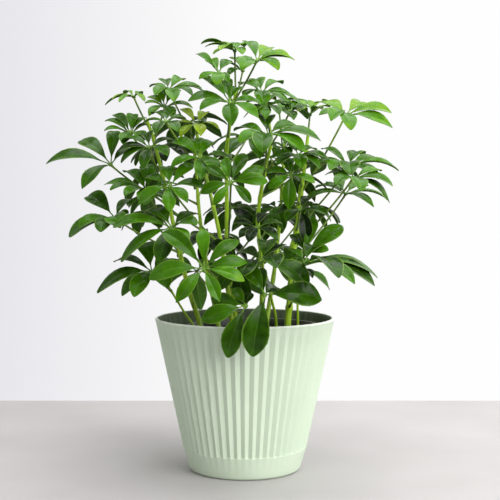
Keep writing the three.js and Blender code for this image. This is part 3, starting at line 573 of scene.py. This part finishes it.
def drill_drains(pot):
    for i in range(DRAIN_COUNT):
        turn = math.tau * i / DRAIN_COUNT
        spot = (DRAIN_CIRCLE * MM * math.cos(turn), DRAIN_CIRCLE * MM * math.sin(turn), POT_FLOOR * MM)
        bpy.ops.mesh.primitive_cylinder_add(
            vertices=24, radius=DRAIN_RADIUS * MM, depth=8 * GROW_POT_WALL * MM, location=spot
        )
        drill = bpy.context.object
        cut = pot.modifiers.new("drain", "BOOLEAN")
        cut.operation = "DIFFERENCE"
        cut.object = drill
        bpy.context.view_layer.objects.active = pot
        bpy.ops.object.modifier_apply(modifier=cut.name)
        bpy.data.objects.remove(drill)


# Soil: a plug of potting mix with an uneven top, and loose crumbs on it.


def soil_radius(height):
    return grow_pot_radius(height) - GROW_POT_WALL - GAP - SOIL_SHRINK


def soil_height(x, y):
    """Height of the soil's top at x, y, with humps 30 mm across and lumps 6 mm across."""
    humps = noise.noise(Vector((x, y, 0)) * 0.035)
    lumps = noise.noise(Vector((x, y, 7)) * 0.16)
    return SOIL_TOP - 0.6 + SOIL_RELIEF * (0.9 * humps + 0.75 * lumps)


def potting_soil(draw):
    foot = POT_FLOOR + 2 * GAP + GROW_POT_WALL
    edge = soil_radius(SOIL_TOP)
    side = [(soil_radius(h), h) for h in (foot, 40, 80, 110, SOIL_TOP - 3)]
    top = [(edge * share, SOIL_TOP) for share in [0.985, *between(0, 0.97, 15)[::-1]]]
    body = turned("potting_soil", [(0, foot), *side, *top, (0, SOIL_TOP)], SOIL_STEPS)
    for vertex in body.data.vertices:
        if vertex.co.z > (SOIL_TOP - 1) * MM:
            vertex.co.z = soil_height(vertex.co.x / MM, vertex.co.y / MM) * MM
    bpy.ops.mesh.primitive_ico_sphere_add(subdivisions=1, radius=MM)
    crumb = bpy.context.object
    for vertex in crumb.data.vertices:
        vertex.co *= 1 + 0.5 * noise.noise(vertex.co / MM * 1.3)
    crumbs = [body]
    for _ in range(CRUMB_COUNT):
        radius = (edge - 3) * math.sqrt(draw.random())
        turn = draw.uniform(0, math.tau)
        size = draw.choice(CRUMB_SIZES)
        x, y = radius * math.cos(turn), radius * math.sin(turn)
        spin = Euler([draw.uniform(0, math.tau) for _ in range(3)]).to_matrix().to_4x4()
        shape = Matrix.Diagonal((size * draw.uniform(1, 1.8), size, size * draw.uniform(0.5, 0.9), 1))
        spot = Vector((x, y, soil_height(x, y) + 0.25 * size)) * MM
        piece = copied(crumb)
        piece.data.transform(Matrix.Translation(spot) @ spin @ shape)
        crumbs.append(piece)
    bpy.data.objects.remove(crumb)
    return join("potting_soil", crumbs)


# Stems.


def stem_course(stem):
    """Points on a smooth curve along a stem, from the soil to the tip, with their radii."""
    spots = [place(*spot) for spot in stem["course"]]
    spots = [2 * spots[0] - spots[1], *spots, 2 * spots[-1] - spots[-2]]
    course = []
    for before, start, end, after in zip(spots, spots[1:], spots[2:], spots[3:]):
        for step in range(COURSE_STEPS):
            t = step / COURSE_STEPS
            course.append(
                start
                + (end - before) * t / 2
                + (2 * before - 5 * start + 4 * end - after) * t**2 / 2
                + (3 * start - before - 3 * end + after) * t**3 / 2
            )
    course.append(spots[-2])
    low, high = stem["radius"]
    radii = [low + (high - low) * i / (len(course) - 1) for i in range(len(course))]
    return course, radii


def point_at_height(course, height):
    for low, high in zip(course, course[1:]):
        if high.z > height * MM:
            return low.lerp(high, (height * MM - low.z) / (high.z - low.z))
    return course[-1].copy()


def stem_run(course, radii, heights):
    """The stem's tube: swollen where a leaf leaves it, and closed by a blunt bud."""
    run = []
    for point, radius in zip(course, radii):
        swell = sum(math.exp(-(((point.z / MM - height) / NODE_HALF) ** 2)) for height in heights)
        run.append((point, radius * (1 + NODE_SWELL * min(swell, 1.2)) * MM))
    along = (course[-1] - course[-2]).normalized()
    for ahead, share in BUD:
        run.append((course[-1] + along * ahead * MM, radii[-1] * share * MM))
    return run


# Leaves.


def outline(s):
    """Half width of a leaflet as a share of its widest, at s along its length."""
    t = clamp((s - STALK_SHARE) / (1 - STALK_SHARE))
    return max(math.sin(math.pi * t**1.35), 0) ** 0.62


def half_width(s):
    """The outline, no narrower than a stalk at its foot."""
    return max(outline(s), STALK_HALF) if s < 0.5 else outline(s)


def leaflet_blank():
    """A flat leaflet, 1 long and up to 1 wide each way, with its thickness in metres."""
    rows = len(STATIONS) - 1
    bpy.ops.mesh.primitive_grid_add(x_subdivisions=rows, y_subdivisions=4, size=1)
    blank = bpy.context.object
    for vertex in blank.data.vertices:
        s = STATIONS[round((vertex.co.x + 0.5) * rows)]
        vertex.co = (s, 2 * vertex.co.y * half_width(s), 0)
    weld(0.0001)
    down = (0, 0, -BLADE_THICKNESS * MM)
    bpy.ops.mesh.extrude_region_move(TRANSFORM_OT_translate={"value": down})
    bpy.ops.mesh.select_all(action="SELECT")
    bpy.ops.mesh.normals_make_consistent(inside=False)
    bpy.ops.object.mode_set(mode="OBJECT")
    mesh = blank.data
    across = [v.co.y / half_width(v.co.x) if v.co.x < 0.999 else 0 for v in mesh.vertices]
    for loop, spot in zip(mesh.loops, mesh.uv_layers[0].data):
        spot.uv = (mesh.vertices[loop.vertex_index].co.x, (across[loop.vertex_index] + 1) / 2)
    under = mesh.attributes.new("under", "FLOAT", "POINT")
    under.data.foreach_set("value", [1.0 if v.co.z < 0 else 0.0 for v in mesh.vertices])
    mesh.attributes.new("tone", "FLOAT", "POINT")
    return blank, across


def rule_tips(hub, facing, length, count, first, droop, seed):
    """Leaflet tips by rule: count spokes about the facing direction, drooping, and made a little
    uneven by sines."""
    right = facing.cross(Vector((0, 1, 0.1))).normalized()
    front = facing.cross(right)
    tips = []
    for k in range(count):
        turn = math.radians(first + 360 * k / count + UNEVEN_TURN * math.sin(3.1 * seed + 2.3 * k))
        reach = length * (1 + UNEVEN_REACH * math.sin(1.7 * seed + 1.9 * k)) * MM
        fall = droop + UNEVEN_DROOP * math.sin(seed + 2.9 * k)
        out = right * math.cos(turn) + front * math.sin(turn)
        sink = facing * math.sin(fall) + Vector((0, 0, 0.08))
        tips.append(hub + out * reach * math.cos(fall) - sink * reach)
    return tips


def hand_tips(x, z, depth, length, leaflets):
    """Leaflet tips as listed: each is seen right and up of the hub, and turned so far in depth that the
    leaflet keeps its length."""
    scale = 1 + depth / VIEW_DISTANCE
    tips = []
    for right, rise, turn in leaflets:
        hidden = math.sqrt(max(length**2 - (math.hypot(right, rise) * scale) ** 2, 0))
        tips.append(place(x + right, z + rise, depth + turn * hidden))
    return tips


def midline(hub, tip, facing, bow):
    """A leaflet's midline, arched and bowed sideways by a share of its length: at s it gives the
    point, the side and the way up."""
    control = hub.lerp(tip, LEAFLET_CREST) + facing * LEAFLET_ARCH * (tip - hub).length
    first = facing.cross(control - hub).normalized()

    def at(s):
        point = hub * (1 - s) ** 2 + control * 2 * s * (1 - s) + tip * s**2
        along = ((control - hub) * (1 - s) + (tip - control) * s).normalized()
        side = (first - along * first.dot(along)).normalized()
        sway = side * bow * (tip - hub).length * math.sin(math.pi * s)
        return point + sway, side, along.cross(side)

    return at


def bend_leaflet(blank, across, at, half, tone, draw):
    """A copy of the blank on a leaflet's midline, each half arched beside a sunken midrib, with a
    wavy margin, a little roll, and a tip between blunt and pointed."""
    crown = draw.uniform(0.4, 0.62)
    margin = draw.uniform(0.26, 0.52)
    wave = draw.uniform(0.02, 0.07)
    phase = draw.uniform(0, math.tau)
    roll = draw.uniform(-0.14, 0.14)
    point = draw.uniform(0, 0.7)
    frames = {s: at(s) for s in STATIONS}
    leaflet = copied(blank)
    for vertex, share in zip(leaflet.data.vertices, across):
        s = min(STATIONS, key=lambda station: abs(station - vertex.co.x))
        middle, side, up = frames[s]
        taper = 1 - point * max((s - TAPER_START) / TAPER_RUN, 0) ** 2
        wide = half * half_width(s) * taper if s < 1 else 0
        lift = wide * (crown * abs(share) - (crown - margin + 0.2) * share**2)
        lift += half * wave * share * abs(share) * math.sin(9 * s + phase) + roll * wide * share
        vertex.co = middle + side * wide * share + up * (lift + vertex.co.z)
    leaflet.data.attributes["tone"].data.foreach_set("value", [tone] * len(across))
    return leaflet


def rib_run(at):
    """A leaflet's stalk, which runs on as the midrib under its blade."""
    run = []
    for s in (0, 0.07, 0.14, 0.22, 0.34, 0.48, 0.62, 0.75, RIB_END):
        point, _, up = at(s)
        radius = RIB_RADIUS - RIB_TAPER * s
        sunk = clamp((s - 0.07) / 0.1)
        run.append((point - up * (BLADE_THICKNESS / 2 + 0.9 * radius) * sunk * MM, radius * MM))
    return run


def stalk_run(base, hub):
    """A leaf's stalk, from inside the stem to the hub, a little bowed and thicker at its ends."""
    control = hub.lerp(base, 0.42) - Vector((0, 0, 0.07 * (hub - base).length))
    run = []
    for step in range(13):
        t = step / 12
        point = base * (1 - t) ** 2 + control * 2 * t * (1 - t) + hub * t**2
        collar = STALK_COLLAR * max(1 - t / STALK_COLLAR_END, 0)
        neck = STALK_NECK * max((t - 0.9) / 0.1, 0)
        run.append((point, (STALK_RADIUS + collar + neck) * MM))
    return run


def leafy_stem(name, stem, blank, across, knob, draw):
    """The stem, the leaf stalks, the midribs with their hubs, and the leaflets."""
    course, radii = stem_course(stem)
    stalks, ribs, knobs, leaflets = [], [], [], []
    heights = []
    for leaf, x, z, depth, height, direction, length, *rest in LEAVES[name]:
        hub = place(x, z, depth)
        facing = Vector(direction).normalized()
        if isinstance(rest[0], list):
            tips = hand_tips(x, z, depth, length, rest)
        else:
            tips = rule_tips(hub, facing, length, *rest, int(leaf[1:]))
        tone = TONES.get(leaf, COMMON_TONE + draw.uniform(-0.13, 0.2))
        breadth = BROAD_LEAVES.get(leaf, 1)
        heights.append(height)
        stalks.append(stalk_run(point_at_height(course, height), hub))
        for tip in tips:
            shade = tone + draw.uniform(-0.12, 0.13)
            half = LEAFLET_WIDTH * breadth * (tip - hub).length / 2 * draw.uniform(1.02, 1.13)
            at = midline(hub, tip, facing, draw.uniform(-0.045, 0.045))
            ribs.append(rib_run(at))
            leaflets.append(bend_leaflet(blank, across, at, half, shade, draw))
        piece = copied(knob)
        stand = Vector((0, 0, 1)).rotation_difference(facing).to_matrix().to_4x4()
        piece.data.transform(Matrix.Translation(hub) @ stand)
        knobs.append(piece)
    wood = tubes(name + "_wood", [stem_run(course, radii, heights)], WOOD_SIDES)
    stalk_piece = tubes(name + "_stalks", stalks, STALK_SIDES)
    rib_piece = join(name + "_ribs", [tubes("ribs", ribs, RIB_SIDES), *knobs])
    blades = join(name + "_leaves", leaflets)
    return wood, stalk_piece, rib_piece, blades


# Materials.


def srgb(code):
    """A linear colour from its sRGB hex code."""
    shares = [int(code[i : i + 2], 16) / 255 for i in (1, 3, 5)]
    linear = [c / 12.92 if c <= 0.04045 else ((c + 0.055) / 1.055) ** 2.4 for c in shares]
    return (*linear, 1)


def add(tree, kind, sockets, **settings):
    """Adds a node with its settings, and sets or links its sockets, by name or number. A node given
    as a value is linked by its first output. By number, a Map Range takes its value (0), the range
    that it comes from (1 and 2) and the one it goes to (3 and 4), and a colour Mix takes its share
    (0) and its two colours (6 and 7)."""
    node = tree.nodes.new(kind)
    for setting, value in settings.items():
        setattr(node, setting, value)
    for socket, value in sockets.items():
        if isinstance(value, bpy.types.Node):
            value = value.outputs[0]
        if isinstance(value, bpy.types.NodeSocket):
            tree.links.new(value, node.inputs[socket])
        else:
            node.inputs[socket].default_value = value
    return node


def empty_material(name):
    material = bpy.data.materials.new(name)
    material.use_nodes = True
    material.node_tree.nodes.clear()
    return material, material.node_tree


def living_leaf():
    """Living leaf with a waxy skin: deep green, glossy on top, paler and duller underneath, with a
    faint midrib, a pale edge, and enough light passing through to glow against the light."""
    material, tree = empty_material("living_leaf_waxy")
    coords = add(tree, "ShaderNodeTexCoord", {})
    place_on = add(tree, "ShaderNodeSeparateXYZ", {0: coords.outputs["UV"]})
    along, side, _ = place_on.outputs
    signed = add(tree, "ShaderNodeMath", {0: side, 1: 2.0, 2: -1.0}, operation="MULTIPLY_ADD")
    across = add(tree, "ShaderNodeMath", {0: signed}, operation="ABSOLUTE")
    # The tone holds the leaf's age together with the painted shade and light set in TONES.
    tone = add(tree, "ShaderNodeAttribute", {}, attribute_name="tone").outputs["Fac"]
    under = add(tree, "ShaderNodeAttribute", {}, attribute_name="under").outputs["Fac"]

    # Mottling about 9 mm across, as chlorophyll varies over a blade, and a lighter tip.
    mottle = add(tree, "ShaderNodeTexNoise", {"Vector": coords.outputs["Object"], "Scale": 110.0})
    shift = add(tree, "ShaderNodeMath", {0: mottle, 1: 0.42, 2: -0.21}, operation="MULTIPLY_ADD")
    toned = add(tree, "ShaderNodeMath", {0: tone, 1: shift}, operation="ADD")
    tip_glow = add(tree, "ShaderNodeMath", {0: along, 1: 4.0}, operation="POWER")
    lit = add(tree, "ShaderNodeMath", {0: tip_glow, 1: 0.1, 2: toned}, operation="MULTIPLY_ADD")
    grown = add(tree, "ShaderNodeMapRange", {0: lit, 1: 0.07, 2: 0.62})
    young = add(tree, "ShaderNodeMapRange", {0: lit, 1: 0.55, 2: 1.05})

    # Side veins leave the midrib every 3 mm or so, leaning towards the tip.
    lean = add(tree, "ShaderNodeMath", {0: across, 1: -0.16, 2: along}, operation="MULTIPLY_ADD")
    beat = add(tree, "ShaderNodeMath", {0: lean, 1: 100.0}, operation="MULTIPLY")
    wave = add(tree, "ShaderNodeMath", {0: beat}, operation="SINE")
    vein = add(tree, "ShaderNodeMapRange", {0: wave, 1: 0.6, 2: 1.0, 4: 0.09})
    midrib = add(tree, "ShaderNodeMapRange", {0: across, 1: 0.01, 2: 0.07, 3: 0.22, 4: 0.0})
    edge = add(tree, "ShaderNodeMapRange", {0: across, 1: 0.86, 2: 0.98, 4: 0.5})
    below = add(tree, "ShaderNodeMath", {0: under, 1: 0.6}, operation="MULTIPLY")

    # Each colour lies over the ones before it.
    colour = srgb("#061802")
    layers = (
        (grown, "#4e8a06"), (young, "#9dba2c"), (vein, "#6f9c3a"), (midrib, "#74a83c"),
        (edge, "#8db544"), (below, "#527a2c"),
    )
    for share, over in layers:
        mix = add(tree, "ShaderNodeMix", {0: share, 6: colour, 7: srgb(over)}, data_type="RGBA")
        colour = mix.outputs[2]

    # Wax wears unevenly, so the gloss varies over the blade. The underside has none.
    gloss = add(tree, "ShaderNodeMapRange", {0: mottle, 1: 0.3, 2: 0.7, 3: 0.15, 4: 0.29})
    rough = add(tree, "ShaderNodeMix", {0: under, 2: gloss, 3: 0.62}, data_type="FLOAT")
    relief = add(tree, "ShaderNodeMath", {0: vein, 1: -1.0}, operation="MULTIPLY")
    bump = add(tree, "ShaderNodeBump", {"Height": relief, "Strength": 0.2, "Distance": 0.0006})
    look = {"Base Color": colour, "Roughness": rough, "IOR": 1.45, "Normal": bump}
    look["Specular IOR Level"] = 0.2
    skin = add(tree, "ShaderNodeBsdfPrincipled", look)
    through = add(tree, "ShaderNodeMix", {0: 0.35, 6: colour, 7: srgb("#94c022")}, data_type="RGBA")
    glow = add(tree, "ShaderNodeBsdfTranslucent", {"Color": through.outputs[2]})
    both = add(tree, "ShaderNodeMixShader", {0: 0.2, 1: skin, 2: glow})
    add(tree, "ShaderNodeOutputMaterial", {0: both})
    return material


def green_bark():
    """Bark of a young stem: smooth yellow green, a little duller near the soil, with dark streaks
    along it and small pale pores."""
    material, tree = empty_material("green_bark_young")
    spot = add(tree, "ShaderNodeTexCoord", {}).outputs["Object"]
    height = add(tree, "ShaderNodeSeparateXYZ", {0: spot}).outputs[2]
    up = add(tree, "ShaderNodeMapRange", {0: height, 1: 0.125, 2: 0.23})
    # Streaks 1 mm wide and 25 mm long.
    drawn_out = add(tree, "ShaderNodeMapping", {"Vector": spot, "Scale": (1.0, 1.0, 0.03)})
    streak = add(tree, "ShaderNodeTexNoise", {"Vector": drawn_out, "Scale": 400.0})
    dark = add(tree, "ShaderNodeMapRange", {0: streak, 1: 0.5, 2: 0.68, 4: 0.6})
    # Pores a millimetre or two apart.
    pore = add(tree, "ShaderNodeTexVoronoi", {"Vector": spot, "Scale": 420.0})
    dots = add(tree, "ShaderNodeMapRange", {0: pore, 1: 0.1, 2: 0.22, 3: 0.25, 4: 0.0})
    colour = srgb("#93b624")
    for share, over in ((up, "#b0dc28"), (dark, "#2f5a0c"), (dots, "#b7b67a")):
        mix = add(tree, "ShaderNodeMix", {0: share, 6: colour, 7: srgb(over)}, data_type="RGBA")
        colour = mix.outputs[2]
    bump = add(tree, "ShaderNodeBump", {"Height": streak, "Strength": 0.5, "Distance": 0.0004})
    look = {"Base Color": colour, "Roughness": 0.38, "IOR": 1.45, "Normal": bump}
    skin = add(tree, "ShaderNodeBsdfPrincipled", look)
    add(tree, "ShaderNodeOutputMaterial", {0: skin})
    return material


def leaf_stalk(name, dull, fresh, rough):
    """Stalk or midrib: smooth, semi-gloss green skin, with stretches that are paler."""
    material, tree = empty_material(name)
    spot = add(tree, "ShaderNodeTexCoord", {}).outputs["Object"]
    # Stretches about 20 mm long.
    patch = add(tree, "ShaderNodeTexNoise", {"Vector": spot, "Scale": 50.0})
    fine = add(tree, "ShaderNodeTexNoise", {"Vector": spot, "Scale": 900.0})
    share = add(tree, "ShaderNodeMapRange", {0: patch, 1: 0.35, 2: 0.65})
    mix = add(tree, "ShaderNodeMix", {0: share, 6: srgb(dull), 7: srgb(fresh)}, data_type="RGBA")
    bump = add(tree, "ShaderNodeBump", {"Height": fine, "Strength": 0.3, "Distance": 0.0002})
    look = {"Base Color": mix.outputs[2], "Roughness": rough, "IOR": 1.45, "Normal": bump}
    skin = add(tree, "ShaderNodeBsdfPrincipled", look)
    add(tree, "ShaderNodeOutputMaterial", {0: skin})
    return material


def moulded_plastic(name, colours, rough, grain):
    """Moulded polypropylene: one colour through and through, with a soft satin sheen from the fine grain
    of the mould, and faint clouding where the melt ran. Its lip is painted paler, a painted highlight
    where the light catches the rim, and inside it is painted darker, a painted shade where little light
    reaches, and is also duller."""
    body, other, inside, edge = [srgb(code) for code in colours]
    material, tree = empty_material(name)
    spot = add(tree, "ShaderNodeTexCoord", {}).outputs["Object"]
    # Clouds 40 mm across. The mould's grain is 0.2 mm, drawn at 1 mm so that it shows.
    cloud = add(tree, "ShaderNodeTexNoise", {"Vector": spot, "Scale": 25.0})
    sand = add(tree, "ShaderNodeTexNoise", {"Vector": spot, "Scale": 1000.0})
    # The attribute "lip" masks a painted highlight, and "hollow" masks painted shade on the inside.
    lip = add(tree, "ShaderNodeAttribute", {}, attribute_name="lip").outputs["Fac"]
    hollow = add(tree, "ShaderNodeAttribute", {}, attribute_name="hollow").outputs["Fac"]
    colour = body
    for share, over in ((cloud, other), (lip, edge), (hollow, inside)):
        mix = add(tree, "ShaderNodeMix", {0: share, 6: colour, 7: over}, data_type="RGBA")
        colour = mix.outputs[2]
    shine = add(tree, "ShaderNodeMapRange", {0: hollow, 3: 0.5, 4: 0.05})
    sheen = add(tree, "ShaderNodeMapRange", {0: cloud, 1: 0.3, 2: 0.7, 3: rough, 4: rough + 0.08})
    bump = add(tree, "ShaderNodeBump", {"Height": sand, "Strength": grain, "Distance": 0.0002})
    look = {"Base Color": colour, "Roughness": sheen, "IOR": 1.49, "Normal": bump}
    look["Specular IOR Level"] = shine
    skin = add(tree, "ShaderNodeBsdfPrincipled", look)
    add(tree, "ShaderNodeOutputMaterial", {0: skin})
    return material


def damp_potting_mix():
    """Peat and bark fines, damp: nearly black, crumbly and dull, with browner bits."""
    material, tree = empty_material("damp_potting_mix")
    spot = add(tree, "ShaderNodeTexCoord", {}).outputs["Object"]
    # Bits 3 mm across in peat of 0.7 mm.
    bits = add(tree, "ShaderNodeTexVoronoi", {"Vector": spot, "Scale": 330.0})
    peat = add(tree, "ShaderNodeTexNoise", {"Vector": spot, "Scale": 1400.0, "Detail": 4.0})
    kind = add(tree, "ShaderNodeSeparateColor", {0: bits.outputs["Color"]})
    brown = add(tree, "ShaderNodeMapRange", {0: kind, 1: 0.6, 2: 1.0, 4: 0.8})
    colour = srgb("#0d0a07")
    for share, over in ((peat, "#241b13"), (brown, "#3c2a1a")):
        mix = add(tree, "ShaderNodeMix", {0: share, 6: colour, 7: srgb(over)}, data_type="RGBA")
        colour = mix.outputs[2]
    bump = add(tree, "ShaderNodeBump", {"Height": peat, "Strength": 1.0, "Distance": 0.001})
    look = {"Base Color": colour, "Roughness": 0.9, "Specular IOR Level": 0.1, "Normal": bump}
    skin = add(tree, "ShaderNodeBsdfPrincipled", look)
    add(tree, "ShaderNodeOutputMaterial", {0: skin})
    return material


def studio():
    """Pale floor, white surroundings that dim towards the left, soft light from the front right,
    from above and from a window behind on the right, a faint bounce from the left, and a camera at
    eye level with the middle of the bush."""
    floor_material, tree = empty_material("pale_plaster_floor")
    coords = add(tree, "ShaderNodeTexCoord", {})
    cloud = add(tree, "ShaderNodeTexNoise", {"Vector": coords.outputs["Object"], "Scale": 9.0})
    floor_colours = {0: cloud, 6: srgb("#aaa6a6"), 7: srgb("#bab7b7")}
    mix = add(tree, "ShaderNodeMix", floor_colours, data_type="RGBA")
    skin = add(tree, "ShaderNodeBsdfPrincipled", {"Base Color": mix.outputs[2], "Roughness": 0.6})
    add(tree, "ShaderNodeOutputMaterial", {0: skin})
    bpy.ops.mesh.primitive_grid_add(x_subdivisions=8, y_subdivisions=8, size=1)
    floor = bpy.context.object
    floor.name = "floor"
    floor.data.transform(Matrix.Diagonal((1.5, 0.72, 1, 1)))
    floor.data.materials.append(floor_material)

    # The surroundings look white, and light the plant less than that, as a distant wall would.
    world = bpy.data.worlds.new("white_studio")
    bpy.context.scene.world = world
    world.use_nodes = True
    sky = world.node_tree
    sky.nodes.clear()
    direction = add(sky, "ShaderNodeTexCoord", {})
    parts = add(sky, "ShaderNodeSeparateXYZ", {0: direction.outputs["Generated"]})
    sideways, inward, upward = parts.outputs
    right = add(sky, "ShaderNodeMapRange", {0: sideways, 1: -0.24, 2: 0.0})
    backdrop_colours = {0: right, 6: srgb("#e5e4e9"), 7: srgb("#fefefe")}
    backdrop = add(sky, "ShaderNodeMix", backdrop_colours, data_type="RGBA").outputs[2]
    colour = srgb("#646466")
    behind = add(sky, "ShaderNodeMapRange", {0: inward, 1: -0.7, 2: 0.9})
    above = add(sky, "ShaderNodeMapRange", {0: upward, 1: -0.1, 2: 0.8})
    seen = add(sky, "ShaderNodeLightPath", {}).outputs["Is Camera Ray"]
    for share, over in ((behind, srgb("#c4c4c2")), (above, srgb("#cfcfcd")), (seen, backdrop)):
        mix = add(sky, "ShaderNodeMix", {0: share, 6: colour, 7: over}, data_type="RGBA")
        colour = mix.outputs[2]
    glow = add(sky, "ShaderNodeBackground", {"Color": colour, "Strength": 1.0})
    add(sky, "ShaderNodeOutputWorld", {0: glow})

    lights = [
        # name, place, size, watts
        ("key", (1.15, -1.25, 0.95), 1.5, 39.5),
        ("top", (0.1, 0.1, 1.5), 1.2, 18.0),
        ("window", (0.9, 0.8, 0.9), 1.2, 6.0),
        ("bounce", (-1.3, -0.7, 0.8), 1.0, 2.0),
    ]
    middle_of_bush = Vector((0, 0, 0.22))
    for name, spot, size, watts in lights:
        turn = (middle_of_bush - Vector(spot)).to_track_quat("-Z", "Y").to_euler()
        bpy.ops.object.light_add(type="AREA", location=spot, rotation=turn)
        light = bpy.context.object
        light.name = name
        light.data.size = size
        light.data.energy = watts

    eye = (0, -VIEW_DISTANCE * MM, VIEW_HEIGHT * MM)
    bpy.ops.object.camera_add(location=eye, rotation=(math.pi / 2, 0, 0))
    camera = bpy.context.object
    camera.data.lens = SENSOR * VIEW_DISTANCE / PHOTO_SIZE
    camera.data.shift_x = MIDDLE_RIGHT / PHOTO_SIZE
    camera.data.shift_y = -MIDDLE_DOWN / PHOTO_SIZE
    bpy.context.scene.camera = camera
    bpy.context.scene.view_settings.view_transform = "Standard"


draw = random.Random(56)
# Of the plastics: body, clouds, the inside's painted shade and the lip's painted highlight.
mint_colours = ["#c8d8c0", "#cfdec8", "#586350", "#eef4e8"]
black_colours = ["#0e0f0e", "#161716", "#0e0f0e", "#707468"]
mint = moulded_plastic("mint_polypropylene_moulded", mint_colours, 0.46, 0.12)
black = moulded_plastic("black_polypropylene_moulded", black_colours, 0.4, 0.3)
leaf = living_leaf()
bark = green_bark()
stalk = leaf_stalk("leaf_stalk_skin", "#47661c", "#86a838", 0.42)
rib = leaf_stalk("midrib_skin", "#48701a", "#6c9428", 0.5)

cover_pot = turned("cover_pot", pot_section(), PLEAT_COUNT * COLUMNS_PER_PLEAT)
press_pleats(cover_pot)
# The cover pot's lip gets a painted highlight.
mark_painted_lip_highlight(cover_pot, POT_HEIGHT - 1.8)
smooth(cover_pot, 32)
stand_for(cover_pot, "pot", mint)

grow_pot = turned("grow_pot", grow_pot_section(), GROW_POT_STEPS)
drill_drains(grow_pot)
# The grow pot's rim gets a painted highlight.
mark_painted_lip_highlight(grow_pot, GROW_POT_TOP - 0.9)
smooth(grow_pot, 40)
grow_pot.data.transform(Matrix.Translation((GROW_POT_SHIFT * MM, 0, 0)))
stand_for(grow_pot, "nursery_pot", black)

soil = potting_soil(draw)
smooth(soil, 45)
soil.data.transform(Matrix.Translation((GROW_POT_SHIFT * MM, 0, 0)))
stand_for(soil, "soil", damp_potting_mix())

blank, across = leaflet_blank()
# The knob is the hub where a leaf's leaflets meet.
bpy.ops.mesh.primitive_ico_sphere_add(subdivisions=2, radius=HUB_RADIUS * MM)
knob = bpy.context.object
knob.data.transform(Matrix.Diagonal((1, 1, HUB_FLAT, 1)))
looks = ((bark, 60), (stalk, 60), (rib, 60), (leaf, 30))  # with the angle of a crisp edge
for name, stem in STEMS.items():
    pieces = leafy_stem(name, stem, blank, across, knob, draw)
    for piece, (material, crease) in zip(pieces, looks):
        smooth(piece, crease)
        stand_for(piece, name, material)
bpy.data.objects.remove(blank)
bpy.data.objects.remove(knob)

studio()
